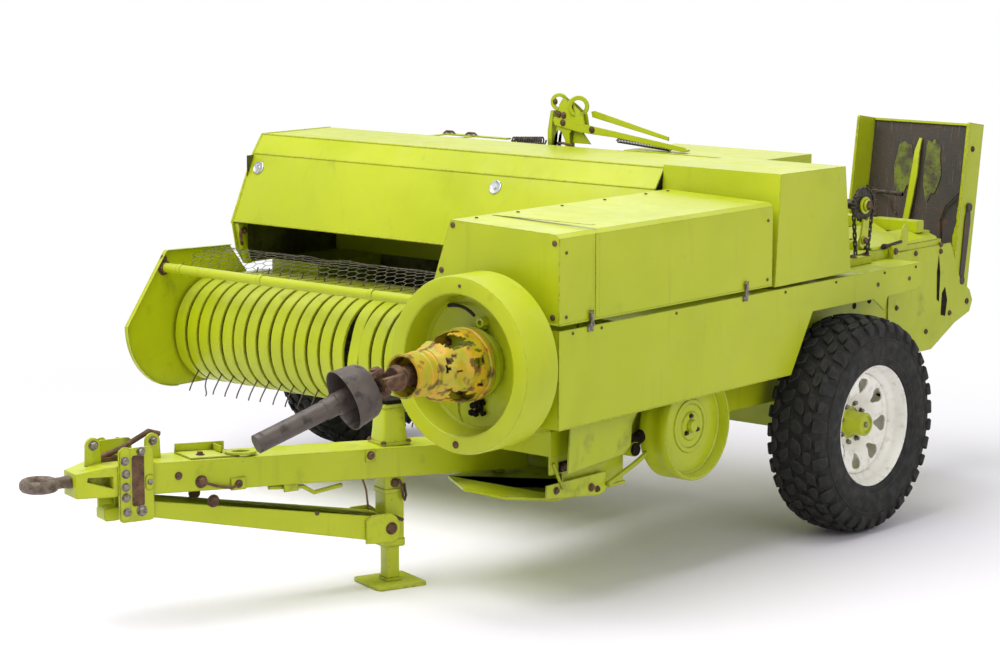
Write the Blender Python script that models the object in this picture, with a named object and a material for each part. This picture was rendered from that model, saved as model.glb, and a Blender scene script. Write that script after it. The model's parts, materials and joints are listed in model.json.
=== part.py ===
"""A small towed square baler: pickup, feeder, bale chamber, flywheel drive, swinging drawbar and two wheels.

X points to the machine's left, Y to its rear and Z up, in metres. Shapes are modelled with the
wheels' axle line at Y = 0 and the ground at Z = 0. One empty then moves the whole machine, so that
its origin is the middle of its outer box, on the ground.
"""

import math

import bmesh
import bpy
from mathutils import Matrix, Vector

# Clearances and plate thicknesses
GAP = 0.0003
PIN_PLAY = 0.002
RUN_CLEARANCE = 0.008
SHEET = 0.004
PLATE = 0.010

# Wheels and axle
TYRE_DIAMETER = 0.750
TYRE_WIDTH = 0.224
FLANGE_DIAMETER = 0.4164
RIM_WIDTH = 0.189
RIM_HOLES = 8
WHEEL_STEPS = 24
STUB_DIAMETER = 0.050
HUB_DIAMETER = 0.084
LEFT_WHEEL_X = 1.005
RIGHT_WHEEL_X = -1.300
AXLE_SECTION = 0.090

# Bale chamber
CHAMBER_RIGHT = 0.375
CHAMBER_LEFT = 0.855
CHAMBER_BOTTOM = 0.540
CHAMBER_TOP = 0.920
CHAMBER_FRONT = -1.310
CHAMBER_REAR = 0.800
FEED_FRONT = -0.560
FEED_REAR = -0.060
CHAMBER_SLOT_FRONT = 0.340

# Frame
RAIL_HEIGHT = 0.078
RAIL_WIDTH = 0.060
FRAME_FRONT = -1.420
CROSS_TUBE_DEPTH = 0.080

# Feeder housing and covers
HOUSING_RIGHT = -1.400
HOOD_LEFT = 0.516
BODY_LEFT = 1.000
HOOD_REAR_FOOT = -0.011
COVER_FRONT = -1.585
COVER_REAR = -0.478
COVER_INNER = 0.555
COVER_FOOT_INNER = 0.500
COVER_TOP = 1.190
SHELF_TOP = 0.885
PANEL_BOTTOM = 0.581
PAN_FRONT = -0.390
ARCH_X = -1.155
ARCH_TOP = 0.775

# Flywheel, gearbox and driveline
FLYWHEEL_X = 0.770
FLYWHEEL_Z = 0.782
FLYWHEEL_FRONT = -1.785
FLYWHEEL_DIAMETER = 0.545
FLYWHEEL_THICKNESS = 0.150
FLYWHEEL_DISH = 0.100
INPUT_SHAFT_DIAMETER = 0.060
GEARBOX_WIDTH = 0.160
GEARBOX_HEIGHT = 0.410
TUBE_DIAMETER = 0.058
OUTER_JOINT = (0.760, -2.120, 0.775)
TUBE_END = (0.620, -2.490, 0.630)

# Drive pulley below the side panel
PULLEY_X = 0.923
PULLEY_Y = -0.846
PULLEY_Z = 0.481
PULLEY_DIAMETER = 0.350
PULLEY_WIDTH = 0.110
PULLEY_SHAFT_DIAMETER = 0.036

# Drawbar, jack and hitch
DRAWBAR_PIVOT_X = 0.436
DRAWBAR_PIVOT_Y = -1.203
DRAWBAR_SWING_DEG = 18.5
DRAWBAR_LENGTH = 1.591
HITCH_REACH = 0.255
DRAWBAR_WIDTH = 0.150
DRAWBAR_HEIGHT = 0.095
DRAWBAR_WALL = 0.006
DRAWBAR_PIVOT_Z = 0.388
DRAWBAR_RISE = 0.047
JACK_FORWARD = 0.405
JACK_SECTION = 0.070
JACK_WALL = 0.006
JACK_BOTTOM = 0.125
JACK_TOP = 0.600
JACK_LEG_SECTION = 0.046
JACK_FOOT = 0.180
PIVOT_PIN_DIAMETER = 0.040

# Pickup
PICKUP_RIGHT = -1.412
PICKUP_LEFT = 0.306
DRUM_Y = -0.700
DRUM_Z = 0.545
DRUM_RADIUS = 0.200
BAND_WIDTH = 0.050
BAND_PITCH = 0.062
BAND_MARGIN = 0.036
TINE_RADIUS = 0.285
TINE_BARS = 4
FOLDED_TINES_DEG = 110
TINE_DIAMETER = 0.0056
TINE_BAR_RADIUS = 0.145
TINE_BAR_SECTION = 0.020
REEL_SHAFT_DIAMETER = 0.040
SPIDER_THICKNESS = 0.004
FRONT_BAR_DIAMETER = 0.036
PICKUP_PIVOT_Y = -0.420
PICKUP_PIVOT_Z = 0.500

PLATE_NOSE = (-0.885, 0.595)
PLATE_NOSE_RADIUS = 0.250

# Bale chute, folded up behind the chamber
CHUTE_HINGE_Y = 0.980
CHUTE_HINGE_Z = 0.670
CHUTE_LENGTH = 0.655
CHUTE_LEAN_DEG = 8.7
CHUTE_FLANGE = 0.110
EAR = 0.005

# Knotters and tension gear above the chamber
KNOTTER_Y = 0.169
KNOTTER_Z = 1.105
SPROCKET_DIAMETER = 0.120
GUARD_TOP = 1.250

COLOURS = {
    "green_paint": ((0.43, 0.51, 0.03), 0.38, 0.0),
    "white_paint": ((0.74, 0.72, 0.66), 0.40, 0.0),
    "tyre_rubber": ((0.03, 0.03, 0.03), 0.85, 0.0),
    "bare_steel": ((0.35, 0.33, 0.30), 0.45, 0.9),
    "rusty_steel": ((0.16, 0.09, 0.05), 0.80, 0.3),
    "yellow_plastic": ((0.62, 0.40, 0.04), 0.50, 0.0),
    "brown_plastic": ((0.12, 0.08, 0.06), 0.55, 0.0),
}

for leftover in list(bpy.data.objects):
    bpy.data.objects.remove(leftover)


# Materials, frames and building blocks


def material_named(name):
    if name in bpy.data.materials:
        return bpy.data.materials[name]
    colour, roughness, metallic = COLOURS[name]
    material = bpy.data.materials.new(name)
    material.use_nodes = True
    shader = material.node_tree.nodes["Principled BSDF"]
    shader.inputs["Base Color"].default_value = (*colour, 1.0)
    shader.inputs["Roughness"].default_value = roughness
    shader.inputs["Metallic"].default_value = metallic
    return material


def add_frame(name, location=(0, 0, 0), rotation=(0, 0, 0), parent=None):
    """An empty that carries a body. Its place is that body's joint."""
    frame = bpy.data.objects.new(name, None)
    frame.empty_display_size = 0.1
    frame.location = location
    frame.rotation_euler = rotation
    frame.parent = parent
    bpy.context.scene.collection.objects.link(frame)
    return frame


def add_object(name, bm, material, frame):
    bm.normal_update()
    bmesh.ops.recalc_face_normals(bm, faces=bm.faces)
    if bm.calc_volume(signed=True) < 0:
        bmesh.ops.reverse_faces(bm, faces=bm.faces)
    mesh = bpy.data.meshes.new(name)
    bm.to_mesh(mesh)
    bm.free()
    mesh.materials.append(material_named(material))
    part = bpy.data.objects.new(name, mesh)
    part.parent = frame
    bpy.context.scene.collection.objects.link(part)
    return part


def shade_round(part):
    part.data.shade_smooth()
    part.data.set_sharp_from_angle(angle=math.radians(35))
    return part


def add_box(name, material, frame, low, high):
    bm = bmesh.new()
    bmesh.ops.create_cube(bm, size=1.0)
    low, high = Vector(low), Vector(high)
    for vertex in bm.verts:
        vertex.co = (low + high) / 2 + vertex.co * (high - low)
    return add_object(name, bm, material, frame)


def add_prism(name, material, frame, outline, axis, start, end):
    """An outline pushed along an axis. Its points are (y, z) for X, (x, z) for Y and (x, y) for Z."""
    places = {
        "X": lambda p, h: (h, p[0], p[1]),
        "Y": lambda p, h: (p[0], h, p[1]),
        "Z": lambda p, h: (p[0], p[1], h),
    }
    bm = bmesh.new()
    near = [bm.verts.new(places[axis](p, start)) for p in outline]
    far = [bm.verts.new(places[axis](p, end)) for p in outline]
    bm.faces.new(near)
    bm.faces.new(far)
    for i in range(len(outline)):
        j = (i + 1) % len(outline)
        bm.faces.new((near[i], near[j], far[j], far[i]))
    return add_object(name, bm, material, frame)


def add_turned(name, material, frame, profile, axis, centre=(0, 0, 0), steps=32, ring=False):
    """A profile of (radius, distance along the axis), turned once around. A ring's profile is a loop."""
    turns = {
        "X": Matrix.Rotation(math.pi / 2, 4, "Y"), "Y": Matrix.Rotation(-math.pi / 2, 4, "X"),
        "Z": Matrix(),
    }
    bm = bmesh.new()
    start = math.pi / 2
    corners = [bm.verts.new((r * math.cos(start), r * math.sin(start), h)) for r, h in profile]
    pairs = list(zip(corners, corners[1:] + corners[:1] if ring else corners[1:]))
    edges = [bm.edges.new(pair) for pair in pairs]
    bmesh.ops.spin(
        bm, geom=corners + edges, axis=(0, 0, 1), cent=(0, 0, 0), angle=2 * math.pi, steps=steps,
        use_merge=True,
    )
    bmesh.ops.remove_doubles(bm, verts=bm.verts, dist=1e-6)
    bm.transform(Matrix.Translation(centre) @ turns[axis])
    return shade_round(add_object(name, bm, material, frame))


def add_rod(name, material, frame, start, end, radius, sides=12):
    """A round bar between two points."""
    start, end = Vector(start), Vector(end)
    along = end - start
    bm = bmesh.new()
    bmesh.ops.create_cone(
        bm, cap_ends=True, segments=sides, radius1=radius, radius2=radius, depth=along.length,
    )
    bm.transform(Matrix.Translation((start + end) / 2) @ along.to_track_quat("Z", "Y").to_matrix().to_4x4())
    return shade_round(add_object(name, bm, material, frame))


def change(target, others, operation):
    """Adds or cuts away other shapes, which stay in the scene as hidden guides."""
    for other in others:
        modifier = target.modifiers.new(operation.lower(), "BOOLEAN")
        modifier.operation = operation
        modifier.solver = "EXACT"
        modifier.object = other
        other.hide_render = True
        other.display_type = "WIRE"
    return target


def join(target, *others):
    return change(target, others, "UNION")


def cut(target, *others):
    return change(target, others, "DIFFERENCE")


def thick_strip(points, thickness):
    """The outline of a bent sheet: the points on one side, then the same line a thickness to its right."""
    points = [Vector(p) for p in points]
    sides = []
    for start, end in zip(points, points[1:]):
        along = (end - start).normalized()
        sides.append(Vector((along.y, -along.x)))
    inner = [points[0] + sides[0] * thickness]
    for i in range(1, len(points) - 1):
        middle = (sides[i - 1] + sides[i]).normalized()
        inner.append(points[i] + middle * thickness / middle.dot(sides[i]))
    inner.append(points[-1] + sides[-1] * thickness)
    return [tuple(p) for p in points] + [tuple(p) for p in reversed(inner)]


def arc(centre, radius, start_deg, end_deg, steps):
    """Points along an arc. Angles run from the outline's first direction to its second."""
    for i in range(steps + 1):
        angle = math.radians(start_deg + (end_deg - start_deg) * i / steps)
        yield (centre[0] + radius * math.cos(angle), centre[1] + radius * math.sin(angle))


machine = add_frame("machine")
root = add_frame("root", parent=machine)


# Frame, axle and bale chamber


def build_frame():
    rail_top = CHAMBER_BOTTOM - GAP
    rail_bottom = rail_top - RAIL_HEIGHT
    right_rail = CHAMBER_RIGHT + 0.015
    left_rail = CHAMBER_LEFT - 0.015 - RAIL_WIDTH
    rail_rear = 0.050
    frame = add_box(
        "main_frame", "green_paint", root, (right_rail, FRAME_FRONT, rail_bottom),
        (right_rail + RAIL_WIDTH, rail_rear, rail_top),
    )
    left = add_box(
        "left_rail", "green_paint", root, (left_rail, FRAME_FRONT, rail_bottom),
        (left_rail + RAIL_WIDTH, rail_rear, rail_top),
    )
    front = add_box(
        "front_member", "green_paint", root, (right_rail - 0.02, FRAME_FRONT - 0.02, rail_bottom - 0.004),
        (left_rail + RAIL_WIDTH + 0.012, FRAME_FRONT + 0.06, rail_top),
    )
    cross = add_box(
        "cross_tube", "green_paint", root, (ARCH_X - 0.010, -CROSS_TUBE_DEPTH, rail_bottom + 0.002),
        (left_rail + 0.03, 0, rail_top),
    )
    left_sheet = add_box(
        "left_sheet", "green_paint", root,
        (left_rail + RAIL_WIDTH, FRAME_FRONT - 0.02, rail_bottom - 0.062),
        (left_rail + RAIL_WIDTH + PLATE, FRAME_FRONT + 0.30, rail_top),
    )
    upper_plate = add_box(
        "upper_pivot_plate", "green_paint", root,
        (right_rail - 0.03, FRAME_FRONT + 0.02, rail_bottom - 0.0095),
        (left_rail + 0.02, -1.06, rail_bottom + 0.002),
    )
    plate_bottom = DRAWBAR_PIVOT_Z - DRAWBAR_HEIGHT / 2 - 0.030
    outline = [
        (right_rail - 0.03, -1.364), (0.523, -1.475), (0.705, -1.488), (left_rail + RAIL_WIDTH, -1.40),
        (left_rail + RAIL_WIDTH, -1.05), (right_rail - 0.03, -1.05),
    ]
    lower_plate = add_prism(
        "lower_pivot_plate", "green_paint", root, outline, "Z", plate_bottom, plate_bottom + PLATE,
    )
    back = add_box(
        "pivot_back_plate", "green_paint", root, (right_rail - 0.03, -1.07, plate_bottom + 0.002),
        (left_rail + 0.02, -1.06, rail_bottom),
    )
    side = add_box(
        "pivot_side_plate", "green_paint", root,
        (left_rail + RAIL_WIDTH - 0.012, -1.36, plate_bottom + 0.002),
        (left_rail + RAIL_WIDTH - 0.002, -1.06, rail_bottom + 0.002),
    )
    join(frame, left, front, cross, left_sheet, upper_plate, lower_plate, back, side)
    pin_hole = add_turned(
        "pivot_pin_hole", "green_paint", root,
        [
            (0, plate_bottom - 0.02), (PIVOT_PIN_DIAMETER / 2 + PIN_PLAY, plate_bottom - 0.02),
            (PIVOT_PIN_DIAMETER / 2 + PIN_PLAY, rail_bottom + 0.004), (0, rail_bottom + 0.004),
        ],
        "Z", (DRAWBAR_PIVOT_X, DRAWBAR_PIVOT_Y, 0), 16,
    )
    bearing_edge = left_rail + RAIL_WIDTH
    bearing = add_box(
        "pulley_bearing", "green_paint", root, (bearing_edge - 0.01, PULLEY_Y - 0.05, PULLEY_Z - 0.04),
        (bearing_edge + 0.012, PULLEY_Y + 0.05, PULLEY_Z + 0.04),
    )
    bore = PULLEY_SHAFT_DIAMETER / 2 + PIN_PLAY
    shaft_hole = add_rod(
        "pulley_shaft_hole", "green_paint", root, (bearing_edge - 0.035, PULLEY_Y, PULLEY_Z),
        (bearing_edge + 0.02, PULLEY_Y, PULLEY_Z), bore, 16,
    )
    join(frame, bearing)
    cut(frame, pin_hole, shaft_hole)
    return rail_bottom


def build_axle(rail_bottom):
    axle_z = TYRE_DIAMETER / 2
    half = AXLE_SECTION / 2
    left_end = LEFT_WHEEL_X - TYRE_WIDTH / 2 - 0.018
    right_end = RIGHT_WHEEL_X + TYRE_WIDTH / 2 + 0.018
    axle = add_box(
        "axle_beam", "green_paint", root, (right_end, -half, axle_z - half),
        (left_end, half, axle_z + half),
    )
    upright_places = (right_end, CHAMBER_RIGHT + 0.02, CHAMBER_LEFT - 0.07)
    for number, x in enumerate(upright_places):
        upright = add_box(
            f"axle_upright_{number}", "green_paint", root, (x, -half, axle_z + half - 0.01),
            (x + 0.04, half - 0.005, rail_bottom - GAP + (0.002 if number == 0 else 0)),
        )
        join(axle, upright)
    for side, end, wheel in (("left", left_end, LEFT_WHEEL_X), ("right", right_end, RIGHT_WHEEL_X)):
        inner = end - math.copysign(0.02, wheel)
        stub = add_rod(
            f"{side}_stub", "bare_steel", root, (inner, 0, axle_z),
            (wheel + math.copysign(0.02, wheel), 0, axle_z), STUB_DIAMETER / 2, 16,
        )
        join(axle, stub)


def build_chamber():
    chamber = add_box(
        "bale_chamber", "green_paint", root, (CHAMBER_RIGHT, CHAMBER_FRONT, CHAMBER_BOTTOM),
        (CHAMBER_LEFT, CHAMBER_REAR, CHAMBER_TOP),
    )
    inside = add_box(
        "chamber_inside", "green_paint", root,
        (CHAMBER_RIGHT + PLATE, CHAMBER_FRONT - 0.1, CHAMBER_BOTTOM + PLATE),
        (CHAMBER_LEFT - PLATE, CHAMBER_REAR + 0.1, CHAMBER_TOP - PLATE),
    )
    feed = add_box(
        "feed_opening", "green_paint", root,
        (CHAMBER_RIGHT - 0.05, FEED_FRONT, CHAMBER_BOTTOM + PLATE + 0.002),
        (CHAMBER_RIGHT + 0.05, FEED_REAR, CHAMBER_TOP - 0.02),
    )
    slot = add_box(
        "chamber_top_slot", "green_paint", root,
        (CHAMBER_RIGHT + 0.050, CHAMBER_SLOT_FRONT, CHAMBER_TOP - 0.05),
        (CHAMBER_LEFT - 0.050, CHAMBER_REAR + 0.1, CHAMBER_TOP + 0.05),
    )
    cut(chamber, inside, feed, slot)


def build_chute_carriers():
    """A plate on each side of the chamber's rear end, with an ear for the chute's hinge."""
    outline = [
        (0.446, 0.900), (0.446, 0.620), (0.60, 0.520), (0.74, 0.520), (0.90, 0.600), (1.00, 0.630),
        (1.02, 0.670), (1.00, 0.710), (0.93, 0.760), (0.86, 0.900),
    ]
    for side, x in (("right", CHAMBER_RIGHT - GAP - EAR), ("left", CHAMBER_LEFT + GAP)):
        ear = add_prism(f"chute_carrier_{side}", "green_paint", root, outline, "X", x, x + EAR)
        hole = add_rod(
            f"chute_carrier_hole_{side}", "green_paint", root, (x - 0.01, CHUTE_HINGE_Y, CHUTE_HINGE_Z),
            (x + EAR + 0.01, CHUTE_HINGE_Y, CHUTE_HINGE_Z), 0.012, 12,
        )
        cut(ear, hole)


# Feeder housing, hood and covers


def build_feeder():
    rear = HOOD_REAR_FOOT - 0.019
    pan_top = CHAMBER_TOP + 0.0165
    pan_line = [(PAN_FRONT, CHAMBER_BOTTOM), (rear, CHAMBER_BOTTOM), (rear, pan_top)]
    pan = add_prism(
        "feeder_pan", "green_paint", root, thick_strip(pan_line, -SHEET), "X", ARCH_X, CHAMBER_RIGHT - GAP,
    )
    arch_line = [(PAN_FRONT, ARCH_TOP - SHEET), (rear, ARCH_TOP - SHEET), (rear, pan_top)]
    arch = add_prism(
        "wheel_arch", "green_paint", root, thick_strip(arch_line, -SHEET), "X", HOUSING_RIGHT + 0.006,
        ARCH_X + SHEET,
    )
    arch_side = add_box(
        "wheel_arch_side", "green_paint", root, (ARCH_X, PAN_FRONT, CHAMBER_BOTTOM + 0.001),
        (ARCH_X + SHEET, rear, ARCH_TOP - 0.001),
    )
    arch_front_low = (HOUSING_RIGHT + 0.006, PAN_FRONT, CHAMBER_BOTTOM + 0.001)
    arch_front_high = (ARCH_X + SHEET - 0.001, PAN_FRONT + SHEET, ARCH_TOP - 0.001)
    arch_front = add_box("wheel_arch_front", "green_paint", root, arch_front_low, arch_front_high)
    join(pan, arch, arch_side, arch_front)
    hood_line = [
        (HOOD_REAR_FOOT, 0.937), (-0.055, 1.255), (-0.430, 1.255), (-0.480, 1.185), (-0.595, 0.937),
    ]
    add_prism(
        "feeder_hood", "green_paint", root, thick_strip(hood_line, -SHEET), "X", HOUSING_RIGHT + 0.006,
        HOOD_LEFT,
    )
    wall_line = [
        (HOOD_REAR_FOOT, 0.937), (-0.055, 1.255), (-0.430, 1.255), (-0.480, 1.185), (-0.600, 0.930),
        (-0.580, 0.830), (-0.540, ARCH_TOP - SHEET), (HOOD_REAR_FOOT, ARCH_TOP - SHEET),
    ]
    add_prism(
        "feeder_end_wall", "green_paint", root, wall_line, "X", HOUSING_RIGHT, HOUSING_RIGHT + 0.006 - GAP,
    )
    cover_line = [
        (-0.460, SHELF_TOP + 0.009), (-0.434, 1.266), (-0.054, 1.263), (HOOD_REAR_FOOT, SHELF_TOP + 0.012),
    ]
    cover = add_prism("knotter_cover", "green_paint", root, cover_line, "X", HOOD_LEFT + GAP, BODY_LEFT)
    hollow_line = [
        (-0.460 + SHEET, SHELF_TOP - 0.05), (-0.434 + SHEET, 1.262), (-0.054 - SHEET, 1.259),
        (HOOD_REAR_FOOT - SHEET, SHELF_TOP - 0.05),
    ]
    hollow = add_prism(
        "knotter_cover_inside", "green_paint", root, hollow_line, "X", HOOD_LEFT - 0.01, BODY_LEFT - SHEET,
    )
    notch = add_box(
        "knotter_cover_notch", "green_paint", root, (HOOD_LEFT - 0.01, -0.6, SHELF_TOP - 0.02),
        (CHAMBER_LEFT + RUN_CLEARANCE, 0.1, CHAMBER_TOP + 0.015),
    )
    cut(cover, hollow, notch)


def build_side_cover(frame, hinge):
    """The box over the gearbox: a lid with no floor and no inner side, hinged at its inner top edge."""
    front, rear, foot = COVER_FRONT - hinge.y, COVER_REAR - hinge.y, SHELF_TOP + 0.015 - hinge.z
    inner, outer = COVER_INNER - hinge.x, BODY_LEFT - hinge.x
    top_line = [(outer, foot), (outer, -0.025), (outer - 0.015, -0.013), (inner + 0.012, 0)]
    lid = add_prism("side_cover", "green_paint", frame, thick_strip(top_line, -SHEET), "Y", front, rear)
    front_line = [
        (COVER_FOOT_INNER - hinge.x, foot), (outer, foot), (outer, -0.025), (outer - 0.015, -0.013),
        (inner + 0.012, 0), (COVER_FOOT_INNER - hinge.x, 1.000 - hinge.z),
    ]
    front_face = add_prism("side_cover_front", "green_paint", frame, front_line, "Y", front, front + SHEET)
    rear_line = [
        (inner + 0.012, foot), (outer, foot), (outer, -0.025), (outer - 0.015, -0.013), (inner + 0.012, 0),
    ]
    rear_face = add_prism("side_cover_rear", "green_paint", frame, rear_line, "Y", rear - SHEET, rear)
    join(lid, front_face, rear_face)
    notch = add_box(
        "side_cover_notch", "green_paint", frame, (-0.2, CHAMBER_FRONT - 0.02 - hinge.y, foot - 0.1),
        (CHAMBER_LEFT + 0.03 - hinge.x, rear + 0.1, CHAMBER_TOP + 0.03 - hinge.z),
    )
    cut(lid, notch)


def build_side_panels():
    inner = BODY_LEFT - SHEET
    outline = [
        (COVER_FRONT, PANEL_BOTTOM), (-0.358, 0.589), (-0.236, 0.788), (0.133, 0.787), (0.201, 0.741),
        (0.225, 0.787), (0.410, 0.790), (0.440, 0.805), (0.440, SHELF_TOP), (COVER_FRONT, SHELF_TOP),
    ]
    panel = add_prism("lower_side_panel", "green_paint", root, outline, "X", inner, BODY_LEFT)
    shelf = add_box(
        "side_shelf", "green_paint", root, (CHAMBER_LEFT + GAP, CHAMBER_FRONT, SHELF_TOP - SHEET),
        (inner + 0.001, 0.440, SHELF_TOP),
    )
    join(panel, shelf)
    front = add_box(
        "front_panel", "green_paint", root, (COVER_FOOT_INNER, COVER_FRONT, PANEL_BOTTOM),
        (inner - GAP, COVER_FRONT + SHEET, SHELF_TOP),
    )
    hole = add_rod(
        "input_shaft_hole", "green_paint", root, (FLYWHEEL_X, COVER_FRONT - 0.05, FLYWHEEL_Z),
        (FLYWHEEL_X, COVER_FRONT + 0.05, FLYWHEEL_Z), INPUT_SHAFT_DIAMETER / 2 + 0.02, 20,
    )
    cut(front, hole)


# Flywheel, gearbox, driveline and pulley


def build_gearbox():
    front = COVER_FRONT + SHEET + GAP
    bottom = CHAMBER_BOTTOM + GAP
    half = GEARBOX_WIDTH / 2
    gearbox = add_box(
        "gearbox", "bare_steel", root, (FLYWHEEL_X - half, front, bottom),
        (FLYWHEEL_X + half, CHAMBER_FRONT - GAP, bottom + GEARBOX_HEIGHT),
    )
    bore = add_rod(
        "gearbox_bore", "bare_steel", root, (FLYWHEEL_X, front - 0.05, FLYWHEEL_Z),
        (FLYWHEEL_X, front + 0.06, FLYWHEEL_Z), INPUT_SHAFT_DIAMETER / 2 + PIN_PLAY, 20,
    )
    cut(gearbox, bore)


def build_flywheel(frame):
    """Turned about Y, from the front face backwards."""
    outer = FLYWHEEL_DIAMETER / 2
    lip = outer - 0.056
    shaft = INPUT_SHAFT_DIAMETER / 2
    shaft_end = COVER_FRONT + SHEET + 0.050 - FLYWHEEL_FRONT
    profile = [
        (0, FLYWHEEL_DISH), (lip - 0.004, FLYWHEEL_DISH), (lip, 0.004), (lip + 0.004, 0),
        (outer - 0.006, 0), (outer, 0.008), (outer, FLYWHEEL_THICKNESS), (outer - 0.04, FLYWHEEL_THICKNESS),
        (outer - 0.06, FLYWHEEL_DISH + 0.02), (shaft + 0.03, FLYWHEEL_DISH + 0.02),
        (shaft + 0.03, FLYWHEEL_THICKNESS + 0.01), (shaft, FLYWHEEL_THICKNESS + 0.01), (shaft, shaft_end),
        (0, shaft_end),
    ]
    add_turned("flywheel", "green_paint", frame, profile, "Y", steps=32)
    boss = [
        (0, 0.002), (0.060, 0.002), (0.060, 0.040), (0.100, 0.048), (0.100, FLYWHEEL_DISH - GAP),
        (0, FLYWHEEL_DISH - GAP),
    ]
    add_turned("flywheel_boss", "green_paint", frame, boss, "Y", steps=20)


def build_driveline():
    axis_point = Vector((FLYWHEEL_X, FLYWHEEL_FRONT, FLYWHEEL_Z))
    cone = [
        (0.108, 0.075), (0.112, 0.075), (0.112, 0.020), (0.096, -0.090), (0.070, -0.140), (0.066, -0.140),
        (0.066, -0.245), (0.060, -0.245), (0.060, -0.140), (0.092, -0.086), (0.108, 0.018),
    ]
    add_turned("pto_guard_cone", "yellow_plastic", root, cone, "Y", axis_point, 18, ring=True)
    inner_joint = [
        (0, -GAP), (0.032, -GAP), (0.040, -0.060), (0.040, -0.120), (0.030, -0.150), (0.030, -0.250),
        (0, -0.250),
    ]
    add_turned("pto_inner_joint", "rusty_steel", root, inner_joint, "Y", axis_point, 12)
    neck = axis_point + Vector((0, -0.256, 0))
    joint, end = Vector(OUTER_JOINT), Vector(TUBE_END)
    along = (end - joint).normalized()
    outer_joint = add_rod("pto_outer_joint", "rusty_steel", root, neck, joint, 0.038, 12)
    knuckle = add_rod(
        "pto_outer_knuckle", "rusty_steel", root, joint - along * 0.035, joint + along * 0.035, 0.046, 12,
    )
    join(outer_joint, knuckle)
    turn = along.to_track_quat("Z", "Y").to_matrix().to_4x4()
    bell_profile = [
        (0.034, 0.0354), (0.070, 0.0354), (0.086, 0.060), (0.094, 0.125), (0.090, 0.125), (0.081, 0.062),
        (0.067, 0.040), (0.034, 0.040),
    ]
    bell = add_turned("pto_bell_guard", "brown_plastic", root, bell_profile, "Z", steps=18, ring=True)
    bell.data.transform(Matrix.Translation(joint) @ turn)
    add_rod("pto_tube", "brown_plastic", root, joint + along * (0.035 + GAP), end, TUBE_DIAMETER / 2, 16)


def build_pulley(frame):
    half = PULLEY_WIDTH / 2
    rim = PULLEY_DIAMETER / 2
    shaft = PULLEY_SHAFT_DIAMETER / 2
    inner_end = CHAMBER_LEFT - 0.015 - 0.03 - PULLEY_X
    profile = [
        (0, half - 0.02), (0.045, half - 0.02), (0.055, half - 0.035), (rim - 0.02, half - 0.035),
        (rim - 0.015, half - 0.003), (rim - 0.006, half), (rim, half - 0.006), (rim, 0.006 - half),
        (rim - 0.006, -half), (rim - 0.015, 0.003 - half), (rim - 0.02, half - 0.047),
        (shaft + 0.02, half - 0.047), (shaft + 0.02, 0.012 - half), (shaft, 0.012 - half),
        (shaft, inner_end), (0, inner_end),
    ]
    add_turned("drive_pulley", "green_paint", frame, profile, "X", steps=28)


# Drawbar, hitch and jack, in the drawbar's own frame: forwards is -Y and the pin is at X = Y = 0


def beam_height(forward):
    """The drawbar beam's centre height, a distance ahead of its pin."""
    return DRAWBAR_PIVOT_Z + DRAWBAR_RISE * forward


def build_drawbar(frame):
    half = DRAWBAR_HEIGHT / 2
    side = DRAWBAR_WIDTH / 2
    rear, front = -0.070, DRAWBAR_LENGTH - HITCH_REACH
    outline = [
        (-f, beam_height(f) + s)
        for f, s in ((rear, -half), (front, -half), (front, half), (rear, half))
    ]
    beam = add_prism("drawbar_beam", "green_paint", frame, outline, "X", -side, side)
    wall = DRAWBAR_WALL
    hollow_line = [
        (-f, beam_height(f) + s)
        for f, s in (
            (0.060, wall - half), (front + 0.05, wall - half), (front + 0.05, half - wall),
            (0.060, half - wall),
        )
    ]
    hollow = add_prism("drawbar_inside", "green_paint", frame, hollow_line, "X", wall - side, side - wall)
    seat = JACK_SECTION / 2 + GAP
    jack_hole = add_box(
        "jack_seat", "green_paint", frame, (-seat, -JACK_FORWARD - seat, 0.2),
        (seat, -JACK_FORWARD + seat, 0.7),
    )
    pin = add_rod(
        "drawbar_pin", "bare_steel", frame, (0, 0, DRAWBAR_PIVOT_Z - half - 0.045),
        (0, 0, DRAWBAR_PIVOT_Z + half + 0.015), PIVOT_PIN_DIAMETER / 2, 16,
    )
    cut(beam, hollow, jack_hole)
    join(beam, pin)
    return front


def build_stay(frame, front):
    """The tapered channel below the beam, open on top, from the hitch cheeks back to the jack."""
    rear_end = JACK_FORWARD + JACK_SECTION / 2 + GAP
    front_end = front - 0.01
    rear_mid, front_mid = 0.190, 0.366
    rear_half, front_half = 0.041, 0.024
    side = DRAWBAR_WIDTH / 2 - 0.008
    outline = [
        (-rear_end, rear_mid - rear_half), (-front_end, front_mid - front_half),
        (-front_end, front_mid + front_half), (-rear_end, rear_mid + rear_half),
    ]
    stay = add_prism("drawbar_stay", "green_paint", frame, outline, "X", -side, side)
    trough_line = [
        (-rear_end - 0.02, rear_mid - rear_half + 0.010),
        (-front_end - 0.02, front_mid - front_half + 0.006), (-front_end - 0.02, front_mid + 0.06),
        (-rear_end - 0.02, rear_mid + 0.08),
    ]
    trough = add_prism("stay_trough", "green_paint", frame, trough_line, "X", -side + 0.006, side - 0.006)
    cut(stay, trough)


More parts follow.
